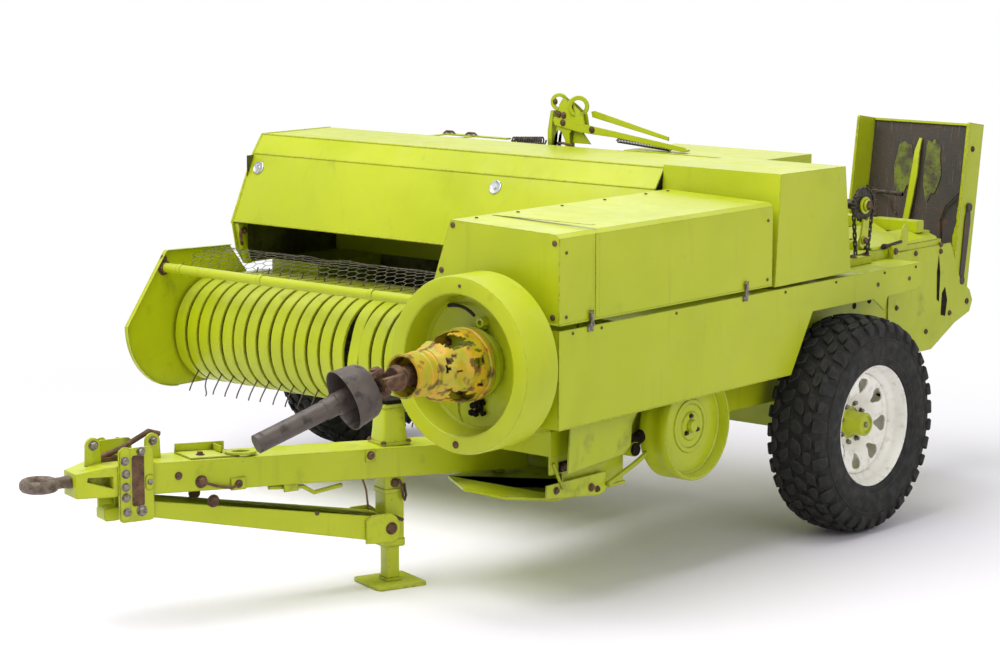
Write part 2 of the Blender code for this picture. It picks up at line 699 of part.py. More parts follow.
def build_hitch(frame, front):
    side = DRAWBAR_WIDTH / 2
    outline = [
        (0.078 - front, 0.550), (-front - 0.025, 0.550), (-front - 0.035, 0.540), (-front - 0.035, 0.335),
        (-front - 0.025, 0.325), (0.078 - front, 0.325),
    ]
    for name, x in (("hitch_cheek_right", -side - GAP - PLATE), ("hitch_cheek_left", side + GAP)):
        add_prism(name, "green_paint", frame, outline, "X", x, x + PLATE)
    centre = beam_height(front)
    head_back, head_front = front + GAP, front + 0.160
    plan = [
        (-side, -head_back), (-side, -head_back - 0.05), (-0.045, -head_front), (0.045, -head_front),
        (side, -head_back - 0.05), (side, -head_back),
    ]
    add_prism("hitch_head", "green_paint", frame, plan, "Z", centre - 0.046, centre + 0.046)
    eye_middle = DRAWBAR_LENGTH
    eye = add_turned(
        "tow_eye", "rusty_steel", frame,
        [
            (0.028, -0.016), (0.034, -0.020), (0.052, -0.020), (0.060, -0.012), (0.060, 0.012),
            (0.052, 0.020), (0.034, 0.020), (0.028, 0.016),
        ],
        "Z", (0, -eye_middle, centre), 18, ring=True,
    )
    shank = add_box(
        "tow_eye_shank", "rusty_steel", frame, (-0.024, -eye_middle + 0.045, centre - 0.017),
        (0.024, -head_front - GAP, centre + 0.017),
    )
    join(eye, shank)


def build_jack(frame, slide_frame):
    half = JACK_SECTION / 2
    bore = half - JACK_WALL
    y = -JACK_FORWARD
    tube = add_box(
        "jack_tube", "green_paint", frame, (-half, y - half, JACK_BOTTOM), (half, y + half, JACK_TOP),
    )
    inside = add_box(
        "jack_tube_inside", "green_paint", frame, (-bore, y - bore, JACK_BOTTOM - 0.05),
        (bore, y + bore, JACK_TOP - JACK_WALL),
    )
    cut(tube, inside)
    leg_half = JACK_LEG_SECTION / 2
    add_box(
        "jack_leg", "bare_steel", slide_frame, (-leg_half, -leg_half, 0.012 + GAP),
        (leg_half, leg_half, 0.330),
    )
    foot = JACK_FOOT / 2
    plan = [
        (-foot, 0.015 - foot), (0.015 - foot, -foot), (foot - 0.015, -foot), (foot, 0.015 - foot),
        (foot, foot - 0.015), (foot - 0.015, foot), (0.015 - foot, foot), (-foot, foot - 0.015),
    ]
    add_prism("jack_foot", "green_paint", slide_frame, plan, "Z", 0, 0.012)


# Pickup, in a frame at its pivot: points are given from the machine's origin and moved by the frame


def build_pickup(frame, reel_frame):
    shift = Vector((0, -PICKUP_PIVOT_Y, -PICKUP_PIVOT_Z))

    def local(points):
        return [(y - PICKUP_PIVOT_Y, z - PICKUP_PIVOT_Z) for y, z in points]

    nose = arc(PLATE_NOSE, PLATE_NOSE_RADIUS, 180, 270, 6)
    plate_line = [
        (-0.600, 0.848), (-0.925, 0.859), (-0.940, 0.852), *nose, (-0.440, 0.340), (-0.400, 0.400),
        (-0.400, 0.600),
    ]
    right = add_prism(
        "pickup_right_plate", "green_paint", frame, local(plate_line), "X", PICKUP_RIGHT - 0.006,
        PICKUP_RIGHT,
    )
    left = add_prism(
        "pickup_left_plate", "green_paint", frame, local(plate_line), "X", PICKUP_LEFT - 0.006, PICKUP_LEFT,
    )
    bore = 0.022
    for plate, x in ((right, PICKUP_RIGHT), (left, PICKUP_LEFT)):
        hole = add_rod(
            f"{plate.name}_hole", "green_paint", frame, Vector((x - 0.03, DRUM_Y, DRUM_Z)) + shift,
            Vector((x + 0.03, DRUM_Y, DRUM_Z)) + shift, bore, 16,
        )
        cut(plate, hole)
    bar_ends = [Vector((x, -0.942, 0.796)) + shift for x in (PICKUP_RIGHT + GAP, PICKUP_LEFT - 0.006 - GAP)]
    add_rod("pickup_front_bar", "green_paint", frame, *bar_ends, FRONT_BAR_DIAMETER / 2, 12)
    build_bands(frame, local, shift)
    build_reel(reel_frame)


def build_bands(frame, local, shift):
    """Stripper bands round the tine drum, tied to one angle at the feed pan and to one bar below."""
    front_arc = list(arc((DRUM_Y, DRUM_Z), DRUM_RADIUS, 90, 270, 10))
    line = [(-0.415, 0.735), *front_arc, (-0.455, 0.350)]
    outline = local(thick_strip(line, -0.003))
    first, last = PICKUP_RIGHT + BAND_MARGIN, PICKUP_LEFT - 0.030
    count = int((last - first - BAND_WIDTH / 2) / BAND_PITCH) + 1
    right, left = PICKUP_RIGHT + GAP, PICKUP_LEFT - 0.006 - GAP
    top_rail = add_prism(
        "pickup_bands", "green_paint", frame,
        local([(-0.440, 0.690), (-0.410, 0.690), (-0.410, 0.7345), (-0.440, 0.7345)]), "X", right, left,
    )
    low_rail = add_prism(
        "band_low_rail", "green_paint", frame,
        local([(-0.468, 0.344), (-0.452, 0.344), (-0.452, 0.360), (-0.468, 0.360)]), "X", right, left,
    )
    bm = bmesh.new()
    for number in range(count):
        x = first + number * BAND_PITCH
        near = [bm.verts.new((x - BAND_WIDTH / 2, y, z)) for y, z in outline]
        far = [bm.verts.new((x + BAND_WIDTH / 2, y, z)) for y, z in outline]
        bm.faces.new(near)
        bm.faces.new(far)
        for i in range(len(outline)):
            j = (i + 1) % len(outline)
            bm.faces.new((near[i], near[j], far[j], far[i]))
    bands = add_object("bands", bm, "green_paint", frame)
    join(top_rail, bands, low_rail)


def build_reel(frame):
    """The tine reel: a shaft with a spider at each end, and bars of spring tines between the spiders."""
    right, left = PICKUP_RIGHT + 0.012, PICKUP_LEFT - 0.018
    shaft_ends = (PICKUP_RIGHT - 0.004, 0, 0), (PICKUP_LEFT + 0.002, 0, 0)
    reel = add_rod("tine_reel", "bare_steel", frame, *shaft_ends, REEL_SHAFT_DIAMETER / 2)
    reach = TINE_BAR_RADIUS + TINE_BAR_SECTION / 2
    spider = [(0, 0), (reach, 0), (reach, SPIDER_THICKNESS), (0, SPIDER_THICKNESS)]
    for side, x in (("right", right), ("left", left - SPIDER_THICKNESS)):
        join(reel, add_turned(f"{side}_spider", "bare_steel", frame, spider, "X", (x, 0, 0), 12))
    for number in range(TINE_BARS):
        turn = math.radians(45 + 360 / TINE_BARS * number)
        fold = math.radians(FOLDED_TINES_DEG) if number == 0 else 0
        inner = SPIDER_THICKNESS + GAP
        build_tine_bar(f"tine_bar_{number + 1}", frame, turn, fold, right + inner, left - inner)


def build_tine_bar(name, frame, turn, fold, right, left):
    """A square bar along the reel with a row of tines, one in each gap between the stripper bands.

    The cam folds the tines of the bar at the upper front into the drum.
    """
    half = TINE_BAR_SECTION / 2
    bar_low, bar_high = (right, -half, TINE_BAR_RADIUS - half), (left, half, TINE_BAR_RADIUS + half)
    bar = add_box(name, "bare_steel", frame, bar_low, bar_high)
    first = PICKUP_RIGHT + BAND_MARGIN + BAND_PITCH / 2
    count = int((left - first - 0.02) / BAND_PITCH) + 1
    reach = TINE_RADIUS - TINE_BAR_RADIUS
    bm = bmesh.new()
    for place in range(count):
        radius = TINE_DIAMETER / 2
        tine = bmesh.ops.create_cone(
            bm, cap_ends=True, segments=4, radius1=radius, radius2=radius, depth=reach,
        )
        middle = Vector((first + place * BAND_PITCH, 0, reach / 2))
        bmesh.ops.translate(bm, verts=tine["verts"], vec=middle)
    bmesh.ops.rotate(bm, verts=bm.verts, matrix=Matrix.Rotation(fold, 3, "X"))
    bmesh.ops.translate(bm, verts=bm.verts, vec=(0, 0, TINE_BAR_RADIUS))
    join(bar, add_object(f"{name}_tines", bm, "bare_steel", frame))
    bar.rotation_euler.x = turn
    bpy.data.objects[f"{name}_tines"].rotation_euler.x = turn


# Wheels, in a frame at each wheel's centre, with the outer side towards +X on the left and -X on the right


def build_wheel(side, frame, outward):
    tyre_radius = TYRE_DIAMETER / 2
    half = TYRE_WIDTH / 2
    flange = FLANGE_DIAMETER / 2
    rim_half = RIM_WIDTH / 2
    bead = rim_half - 0.0165
    tyre_half = [
        (flange - 0.0110, bead), (flange + GAP, bead), (flange + GAP, rim_half + 0.002), (0.245, half),
        (tyre_radius - 0.055, half - 0.001), (tyre_radius - 0.015, half - 0.012), (tyre_radius, half - 0.045),
    ]
    tyre_profile = tyre_half + [(r, -x) for r, x in reversed(tyre_half)]
    add_turned(f"{side}_tyre", "tyre_rubber", frame, tyre_profile, "X", steps=WHEEL_STEPS, ring=True)
    well = flange - 0.0222
    bore = HUB_DIAMETER / 2 + GAP
    barrel = [
        (well, 0.0750), (flange - 0.0122, rim_half), (flange, rim_half), (flange, bead + GAP),
        (flange - 0.0110 - GAP, bead + GAP),
    ]
    inner_barrel = [(r, -x) for r, x in reversed(barrel)]
    disc_back = [(well, -0.024), (0.150, -0.004), (0.095, -0.004), (0.070, 0.006), (bore, 0.006)]
    disc_front = [(bore, 0.014), (0.070, 0.014), (0.095, 0.004), (0.150, 0.004), (well, -0.012)]
    rim_profile = [(r, outward * x) for r, x in barrel + inner_barrel + disc_back + disc_front]
    rim = add_turned(
        f"{side}_wheel_rim", "white_paint", frame, rim_profile, "X", steps=WHEEL_STEPS, ring=True,
    )
    slots = bmesh.new()
    corners = [
        (0.100, -0.016), (0.108, -0.024), (0.150, -0.038), (0.161, -0.030), (0.161, 0.030), (0.150, 0.038),
        (0.108, 0.024), (0.100, 0.016),
    ]
    for number in range(RIM_HOLES):
        turn = Matrix.Rotation(2 * math.pi * (number + 0.4) / RIM_HOLES, 4, "X")
        near = [slots.verts.new(turn @ Vector((-0.06, y, r))) for r, y in corners]
        far = [slots.verts.new(turn @ Vector((0.06, y, r))) for r, y in corners]
        slots.faces.new(near)
        slots.faces.new(far)
        for i in range(len(corners)):
            j = (i + 1) % len(corners)
            slots.faces.new((near[i], near[j], far[j], far[i]))
    cut(rim, add_object(f"{side}_rim_slots", slots, "white_paint", frame))
    add_turned(
        f"{side}_hub", "green_paint", frame, [(r, outward * x) for r, x in hub_line()], "X",
        steps=WHEEL_STEPS,
    )


def hub_line():
    """The hub's profile: a bore for the stub axle, a flange behind the wheel disc and a capped barrel."""
    bore = STUB_DIAMETER / 2 + PIN_PLAY
    return [
        (0, 0.030), (bore, 0.030), (bore, -0.095), (0.052, -0.095), (0.052, -0.020), (0.066, -0.016),
        (0.066, 0.0057), (HUB_DIAMETER / 2, 0.0057), (HUB_DIAMETER / 2, 0.058), (0.034, 0.066), (0, 0.066),
    ]


# Bale chute, in a frame at its hinge: +Z runs up the folded chute, and -Y is its inner face


def build_chute(frame):
    pin_half = (CHAMBER_LEFT - CHAMBER_RIGHT) / 2 + EAR + 0.004
    inner_half = (CHAMBER_LEFT - CHAMBER_RIGHT) / 2 - 0.006
    floor = add_box(
        "bale_chute", "rusty_steel", frame, (-inner_half, -0.002, -0.010),
        (inner_half, SHEET, CHUTE_LENGTH),
    )
    flange_line = [
        (-0.025, -0.018), (SHEET, -0.018), (SHEET, CHUTE_LENGTH), (-CHUTE_FLANGE, CHUTE_LENGTH),
        (-CHUTE_FLANGE, 0.180), (-0.060, 0.060),
    ]
    for side in (-1, 1):
        x = side * inner_half
        flange = add_prism(
            f"chute_flange_{side}", "green_paint", frame, flange_line, "X", min(x, x - side * EAR),
            max(x, x - side * EAR),
        )
        join(floor, flange)
    pin = add_rod("chute_pin", "bare_steel", frame, (-pin_half, 0, 0), (pin_half, 0, 0), 0.010, 12)
    join(floor, pin)
    add_box(
        "chute_brace", "green_paint", frame, (-0.016, SHEET + GAP, 0.030),
        (0.016, SHEET + 0.022, CHUTE_LENGTH - 0.030),
    )


# Knotters, tension gear and the feeder's levers


def build_top_gear():
    chamber_middle = (CHAMBER_LEFT + CHAMBER_RIGHT) / 2
    top = CHAMBER_TOP + GAP
    guard_low = GUARD_TOP - 0.070
    bracket_line = [(0.050, top), (0.300, top), (0.270, guard_low - GAP), (0.060, guard_low - GAP)]
    for side, x in (("right", CHAMBER_RIGHT + 0.045), ("left", 0.575)):
        bracket = add_prism(f"knotter_bracket_{side}", "green_paint", root, bracket_line, "X", x, x + PLATE)
        hole = add_rod(
            f"knotter_bracket_hole_{side}", "green_paint", root, (x - 0.02, KNOTTER_Y, KNOTTER_Z),
            (x + 0.03, KNOTTER_Y, KNOTTER_Z), 0.0175 + GAP, 12,
        )
        cut(bracket, hole)
    guard = add_box(
        "knotter_guard", "green_paint", root, (0.000, 0.010, guard_low), (0.600, 0.330, GUARD_TOP),
    )
    guard_inside = add_box(
        "knotter_guard_inside", "green_paint", root, (0.004, 0.014, guard_low - 0.02),
        (0.596, 0.326, GUARD_TOP - SHEET),
    )
    sill = add_box(
        "knotter_guard_sill", "green_paint", root, (0.410, 0.030, guard_low),
        (0.596, 0.300, guard_low + SHEET),
    )
    cut(guard, guard_inside)
    join(guard, sill)
    shaft = add_rod(
        "knotter_shaft", "bare_steel", root, (CHAMBER_RIGHT + 0.03, KNOTTER_Y, KNOTTER_Z),
        (0.960, KNOTTER_Y, KNOTTER_Z), 0.0175, 12,
    )
    sprocket = add_rod(
        "knotter_sprocket", "bare_steel", root, (0.920, KNOTTER_Y, KNOTTER_Z),
        (0.932, KNOTTER_Y, KNOTTER_Z), SPROCKET_DIAMETER / 2, 24,
    )
    join(shaft, sprocket)
    for side, x in (("right", CHAMBER_RIGHT + 0.060), ("left", CHAMBER_LEFT - 0.100)):
        add_box(
            f"tension_rail_{side}", "green_paint", root, (x, CHAMBER_SLOT_FRONT + GAP, CHAMBER_TOP - 0.035),
            (x + 0.040, CHAMBER_REAR + 0.02, CHAMBER_TOP + 0.025),
        )
    add_box(
        "tension_crossbar", "green_paint", root, (CHAMBER_RIGHT + 0.040, 0.700, CHAMBER_TOP + 0.025 + GAP),
        (CHAMBER_LEFT - 0.040, 0.745, CHAMBER_TOP + 0.070),
    )
    spindle = add_rod(
        "tension_spindle", "bare_steel", root, (chamber_middle, 0.7225, CHAMBER_TOP + 0.070 + GAP),
        (chamber_middle, 0.7225, CHAMBER_TOP + 0.170), 0.012, 10,
    )
    crank = add_rod(
        "tension_crank", "bare_steel", root, (chamber_middle - 0.008, 0.7225, CHAMBER_TOP + 0.163),
        (chamber_middle + 0.120, 0.7225, CHAMBER_TOP + 0.163), 0.009, 8,
    )
    join(spindle, crank)
    needle_half = 0.024
    needle_top = CHAMBER_BOTTOM - 0.008
    yoke = add_box(
        "needle_yoke", "green_paint", root, (CHAMBER_RIGHT - 0.04, 0.300, needle_top - 2 * needle_half),
        (CHAMBER_LEFT + 0.002, 0.350, needle_top),
    )
    for side, x in (("right", CHAMBER_RIGHT - 0.04), ("left", CHAMBER_LEFT - 0.008)):
        arm = add_box(
            f"needle_arm_{side}", "green_paint", root, (x, 0.060, needle_top - 2 * needle_half),
            (x + PLATE, 0.302, needle_top),
        )
        join(yoke, arm)


def build_feeder_levers():
    """The crank-driven packer linkage behind the hood: a beam, a tall lever, a long arm and a spring."""
    beam_y = 0.045
    beam = add_box(
        "lever_beam", "green_paint", root, (-0.700, beam_y - 0.025, 1.150),
        (-0.0003, beam_y + 0.025, 1.200),
    )
    for number, x in enumerate((-0.66, -0.12)):
        foot_line = [
            (HOOD_REAR_FOOT - 0.012, 0.950), (HOOD_REAR_FOOT + 0.012, 0.950), (beam_y + 0.020, 1.152),
            (beam_y - 0.020, 1.152),
        ]
        foot = add_prism(
            f"lever_beam_foot_{number}", "green_paint", root, [(y + 0.013, z) for y, z in foot_line], "X",
            x, x + 0.03,
        )
        join(beam, foot)
    lever_line = [
        (-0.415, 1.2003), (-0.325, 1.2003), (-0.290, 1.300), (-0.235, 1.405), (-0.262, 1.437),
        (-0.300, 1.420), (-0.345, 1.437), (-0.378, 1.405), (-0.400, 1.300),
    ]
    add_prism("feeder_lever", "green_paint", root, lever_line, "Y", beam_y - 0.012, beam_y + 0.012)
    arm_line = [
        (-0.360, 1.345), (-0.220, 1.330), (0.255, 1.2560), (0.270, 1.2560), (0.275, 1.272), (-0.200, 1.372),
        (-0.345, 1.385),
    ]
    add_prism("feeder_arm", "green_paint", root, arm_line, "Y", beam_y + 0.012 + GAP, beam_y + 0.040)
    add_rod(
        "feeder_spring", "rusty_steel", root, (-0.560, beam_y, 1.245), (-0.4120, beam_y, 1.262), 0.014, 10,
    )


def rest_on_origin():
    """Moves the machine so that its origin is the middle of its box, on the ground."""
    bpy.context.view_layer.update()
    graph = bpy.context.evaluated_depsgraph_get()
    low, high = Vector((1e9,) * 3), Vector((-1e9,) * 3)
    for part in bpy.context.scene.objects:
        if part.type != "MESH" or part.hide_render:
            continue
        shown = part.evaluated_get(graph)
        for vertex in shown.to_mesh().vertices:
            point = shown.matrix_world @ vertex.co
            low = Vector(map(min, low, point))
            high = Vector(map(max, high, point))
        shown.to_mesh_clear()
    middle = (low + high) / 2
    machine.location = (-middle.x, -middle.y, -low.z)


def main():
    axle_z = TYRE_DIAMETER / 2
    rail_bottom = build_frame()
    build_axle(rail_bottom)
    build_chamber()
    build_chute_carriers()
    build_feeder()
    build_side_panels()
    build_gearbox()
    build_driveline()
    build_top_gear()
    build_feeder_levers()
    hinge = Vector((COVER_INNER, (COVER_FRONT + COVER_REAR) / 2, COVER_TOP))
    build_side_cover(add_frame("side_cover_hinge", hinge, parent=machine), hinge)
    build_flywheel(add_frame("flywheel_axis", (FLYWHEEL_X, FLYWHEEL_FRONT, FLYWHEEL_Z), parent=machine))
    build_pulley(add_frame("pulley_axis", (PULLEY_X, PULLEY_Y, PULLEY_Z), parent=machine))
    swing = math.radians(-DRAWBAR_SWING_DEG)
    drawbar = add_frame("drawbar_pivot", (DRAWBAR_PIVOT_X, DRAWBAR_PIVOT_Y, 0), (0, 0, swing), machine)
    front = build_drawbar(drawbar)
    build_stay(drawbar, front)
    build_hitch(drawbar, front)
    build_jack(drawbar, add_frame("jack_slide", (0, -JACK_FORWARD, 0), parent=drawbar))
    pickup = add_frame("pickup_pivot", (0, PICKUP_PIVOT_Y, PICKUP_PIVOT_Z), parent=machine)
    reel = add_frame("reel_axis", (0, DRUM_Y - PICKUP_PIVOT_Y, DRUM_Z - PICKUP_PIVOT_Z), parent=pickup)
    build_pickup(pickup, reel)
    build_wheel("left", add_frame("left_wheel_axis", (LEFT_WHEEL_X, 0, axle_z), parent=machine), 1)
    build_wheel("right", add_frame("right_wheel_axis", (RIGHT_WHEEL_X, 0, axle_z), parent=machine), -1)
    lean = math.radians(-CHUTE_LEAN_DEG)
    chute_x = (CHAMBER_LEFT + CHAMBER_RIGHT) / 2
    build_chute(add_frame("chute_hinge", (chute_x, CHUTE_HINGE_Y, CHUTE_HINGE_Z), (lean, 0, 0), machine))
    rest_on_origin()


main()
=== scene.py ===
# A weathered square baler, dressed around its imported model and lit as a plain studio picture.

import json
import math
import random

import bmesh
import bpy
from mathutils import Matrix, Vector, noise

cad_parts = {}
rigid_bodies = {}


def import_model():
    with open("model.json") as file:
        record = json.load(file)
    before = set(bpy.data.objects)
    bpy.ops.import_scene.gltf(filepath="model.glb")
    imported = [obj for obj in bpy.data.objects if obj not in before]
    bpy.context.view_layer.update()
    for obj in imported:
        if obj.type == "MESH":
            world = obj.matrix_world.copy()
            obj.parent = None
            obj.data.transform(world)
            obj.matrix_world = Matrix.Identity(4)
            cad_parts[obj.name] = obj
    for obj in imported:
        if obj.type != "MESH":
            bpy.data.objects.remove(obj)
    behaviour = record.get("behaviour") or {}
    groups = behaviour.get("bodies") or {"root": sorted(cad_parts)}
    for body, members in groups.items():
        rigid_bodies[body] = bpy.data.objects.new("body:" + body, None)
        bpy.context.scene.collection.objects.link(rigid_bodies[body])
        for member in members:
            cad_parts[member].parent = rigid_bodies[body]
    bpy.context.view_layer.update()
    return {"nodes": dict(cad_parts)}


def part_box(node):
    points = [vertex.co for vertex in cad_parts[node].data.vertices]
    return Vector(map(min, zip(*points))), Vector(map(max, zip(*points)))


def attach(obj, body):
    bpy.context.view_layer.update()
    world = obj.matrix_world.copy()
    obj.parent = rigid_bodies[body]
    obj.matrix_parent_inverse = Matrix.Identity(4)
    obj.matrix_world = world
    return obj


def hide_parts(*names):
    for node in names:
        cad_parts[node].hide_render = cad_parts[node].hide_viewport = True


for leftover in list(bpy.data.objects):
    bpy.data.objects.remove(leftover)

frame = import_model()
nodes = frame["nodes"]

# Everything below is placed from the left wheel's axle line, where it meets the ground
wheelLow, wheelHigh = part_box("left_tyre")
wheelRadius = (wheelHigh.z - wheelLow.z) / 2
leftWheelX = 1.005  # from the machine's own middle line
machineFrame = Matrix.Translation(((wheelLow.x + wheelHigh.x) / 2 - leftWheelX, (wheelLow.y + wheelHigh.y) / 2, 0))
drawbarFrame = machineFrame @ Matrix.Translation((0.436, -1.203, 0)) @ Matrix.Rotation(math.radians(-18.5), 4, "Z")
chuteFrame = machineFrame @ Matrix.Translation((0.615, 0.980, 0.670)) @ Matrix.Rotation(math.radians(-8.7), 4, "X")


# Materials: colours are sRGB hex, and patterns are sized in millimetres


def linearColour(hexText):
    channels = [int(hexText[i:i + 2], 16) / 255 for i in (1, 3, 5)]
    return tuple(c / 12.92 if c <= 0.04045 else ((c + 0.055) / 1.055) ** 2.4 for c in channels) + (1.0,)


def perMetre(millimetres):
    return 1000 / millimetres  # a texture scale for a pattern of this size, since coordinates are metres


def addNode(tree, kind, settings=None, links=None):
    node = tree.nodes.new(kind)
    for name, value in (settings or {}).items():
        if name in node.inputs:
            node.inputs[name].default_value = value
        else:
            setattr(node, name, value)
    for name, source in (links or {}).items():
        tree.links.new(source, node.inputs[name])
    return node


def startMaterial(name, settings):
    material = bpy.data.materials.new(name)
    material.use_nodes = True
    tree = material.node_tree
    shader = tree.nodes["Principled BSDF"]
    for socket, value in settings.items():
        shader.inputs[socket].default_value = value
    return material, tree, shader


def patch(tree, place, size, low, high, detail=4, stretch=(1, 1, 1), seed=0.0):
    # a soft-edged mask of blotches of one size, from 0 where the noise is below low to 1 above high
    moved = addNode(tree, "ShaderNodeMapping", {"Scale": stretch, "Location": (seed, seed * 0.7, -seed)}, {"Vector": place})
    cloud = addNode(tree, "ShaderNodeTexNoise", {"Scale": perMetre(size), "Detail": detail}, {"Vector": moved.outputs[0]})
    ramp = {"From Min": low, "From Max": high, "interpolation_type": "SMOOTHSTEP"}
    return addNode(tree, "ShaderNodeMapRange", ramp, {"Value": cloud.outputs["Fac"]}).outputs["Result"]


def combine(tree, how, first, second):
    node = addNode(tree, "ShaderNodeMath", {"operation": how, "use_clamp": True})
    for place, value in enumerate((first, second)):
        if isinstance(value, (int, float)):
            node.inputs[place].default_value = value
        else:
            tree.links.new(value, node.inputs[place])
    return node.outputs[0]


def tint(tree, amount, under, over, how="MIX"):
    node = addNode(tree, "ShaderNodeMixRGB", {"blend_type": how}, {"Fac": amount})
    for socket, value in (("Color1", under), ("Color2", over)):
        if isinstance(value, str):
            node.inputs[socket].default_value = linearColour(value)
        else:
            tree.links.new(value, node.inputs[socket])
    return node.outputs[0]


def edgeMask(tree, radius, samples=4):
    # 1 along sharp edges: a rounded normal that differs from the flat one
    rounded = addNode(tree, "ShaderNodeBevel", {"Radius": radius, "samples": samples})
    flat = addNode(tree, "ShaderNodeNewGeometry")
    same = addNode(tree, "ShaderNodeVectorMath", {"operation": "DOT_PRODUCT"})
    tree.links.new(rounded.outputs[0], same.inputs[0])
    tree.links.new(flat.outputs["Normal"], same.inputs[1])
    ramp = {"From Min": 0.99, "From Max": 0.85}
    return addNode(tree, "ShaderNodeMapRange", ramp, {"Value": same.outputs["Value"]}).outputs["Result"]


def upMask(tree, low, high):
    # 1 on faces that look up, where dust settles
    normal = addNode(tree, "ShaderNodeSeparateXYZ", {}, {"Vector": addNode(tree, "ShaderNodeNewGeometry").outputs["Normal"]})
    ramp = {"From Min": low, "From Max": high}
    return addNode(tree, "ShaderNodeMapRange", ramp, {"Value": normal.outputs["Z"]}).outputs["Result"]


def bumpFrom(tree, shader, layers):
    # layers of (height, distance in metres), each laid on the one before
    normal = None
    for height, distance in layers:
        links = {"Height": height} if normal is None else {"Height": height, "Normal": normal}
        normal = addNode(tree, "ShaderNodeBump", {"Strength": 1.0, "Distance": distance}, links).outputs[0]
    tree.links.new(normal, shader.inputs["Normal"])


limeEnamel = {
    "base": "#AEBA0C",
    "faded": "#B9C31E",
    "deep": "#97A208",
    "dust": "#CBC98E",
    "grimeAndShade": "#4B4420",
    "rust": "#5E3B22",
    "roughness": (0.28, 0.42),
    "fadeSize": 520,  # mm
    "chipSize": 7,
    "dentSize": 190,
}


def makeLimeEnamel(name, wear, grimeAndShade):
    # Two-part enamel sprayed on sheet steel: a smooth, half-gloss lime coat with faint orange peel.
    # Years outdoors leave faded clouds, runs of grime below seams, chips along edges and a dusty top; corners and
    # creases are darkened too, part crevice dirt and part painted shade.
    look = limeEnamel
    material, tree, shader = startMaterial(name, {"Metallic": 0.0, "IOR": 1.5, "Specular IOR Level": 0.4})
    place = addNode(tree, "ShaderNodeTexCoord").outputs["Object"]
    cloud = patch(tree, place, look["fadeSize"], 0.35, 0.7, seed=1.3)
    colour = tint(tree, cloud, look["base"], look["faded"])
    colour = tint(tree, combine(tree, "MULTIPLY", patch(tree, place, 260, 0.52, 0.8, seed=4.1), 0.35), colour, look["deep"])
    runs = patch(tree, place, 45, 0.58, 0.82, stretch=(1, 1, 0.12), seed=2.2)
    colour = tint(tree, combine(tree, "MULTIPLY", runs, 0.10 + 0.25 * grimeAndShade), colour, look["grimeAndShade"])
    stains = patch(tree, place, 90, 0.66 - 0.14 * grimeAndShade, 0.86 - 0.1 * grimeAndShade, detail=8, seed=7.7)
    colour = tint(tree, combine(tree, "MULTIPLY", stains, 0.25 + 0.5 * grimeAndShade), colour, look["grimeAndShade"])
    dust = combine(tree, "MULTIPLY", upMask(tree, 0.3, 0.95), patch(tree, place, 130, 0.3, 0.75, detail=6, seed=3.0))
    colour = tint(tree, combine(tree, "MULTIPLY", dust, 0.16 + 0.2 * grimeAndShade), colour, look["dust"])
    # painted shade: where the ambient-occlusion node finds corners and creases, the colour is darkened towards the
    # grime colour and broken up by a noise patch, so this is part crevice dirt and part painted shade
    hollow = addNode(tree, "ShaderNodeAmbientOcclusion", {"Distance": 0.030, "samples": 4}).outputs["AO"]
    corners = addNode(tree, "ShaderNodeMapRange", {"From Min": 0.72, "From Max": 0.30}, {"Value": hollow}).outputs["Result"]
    creviceDirtAndShade = combine(tree, "MULTIPLY", corners, patch(tree, place, 22, 0.30, 0.60, detail=8, seed=8.8))
    colour = tint(tree, combine(tree, "MULTIPLY", creviceDirtAndShade, 0.45 + 0.4 * grimeAndShade), colour, look["grimeAndShade"])
    edges = edgeMask(tree, 0.003)
    broken = patch(tree, place, 14, 0.50 - 0.10 * wear, 0.62, detail=8, seed=5.5)
    rubbed = combine(tree, "MULTIPLY", edges, broken)
    dark = edgeMask(tree, 0.007)
    colour = tint(tree, combine(tree, "MULTIPLY", dark, 0.25 + 0.25 * grimeAndShade), colour, look["grimeAndShade"])
    chips = patch(tree, place, look["chipSize"], 0.78 - 0.06 * wear, 0.80 - 0.06 * wear, detail=3, seed=9.1)
    bare = combine(tree, "MAXIMUM", rubbed, combine(tree, "MULTIPLY", chips, 0.9))
    rust = tint(tree, patch(tree, place, 9, 0.4, 0.65, seed=6.6), look["rust"], "#3A2818")
    colour = tint(tree, bare, colour, rust)
    tree.links.new(colour, shader.inputs["Base Color"])
    low, high = look["roughness"]
    shine = addNode(tree, "ShaderNodeMapRange", {"To Min": low, "To Max": high}, {"Value": patch(tree, place, 70, 0.3, 0.75, detail=6)})
    rough = combine(tree, "ADD", shine.outputs[0], combine(tree, "ADD", combine(tree, "MULTIPLY", bare, 0.35), combine(tree, "MULTIPLY", dust, 0.10)))
    tree.links.new(rough, shader.inputs["Roughness"])
    peel = addNode(tree, "ShaderNodeTexNoise", {"Scale": perMetre(5), "Detail": 1.0}, {"Vector": place}).outputs["Fac"]
    dents = addNode(tree, "ShaderNodeTexNoise", {"Scale": perMetre(look["dentSize"]), "Detail": 2.0}, {"Vector": place}).outputs["Fac"]
    bumpFrom(tree, shader, [(dents, 0.006), (peel, 0.00006), (combine(tree, "SUBTRACT", 1.0, bare), 0.0004)])
    return material


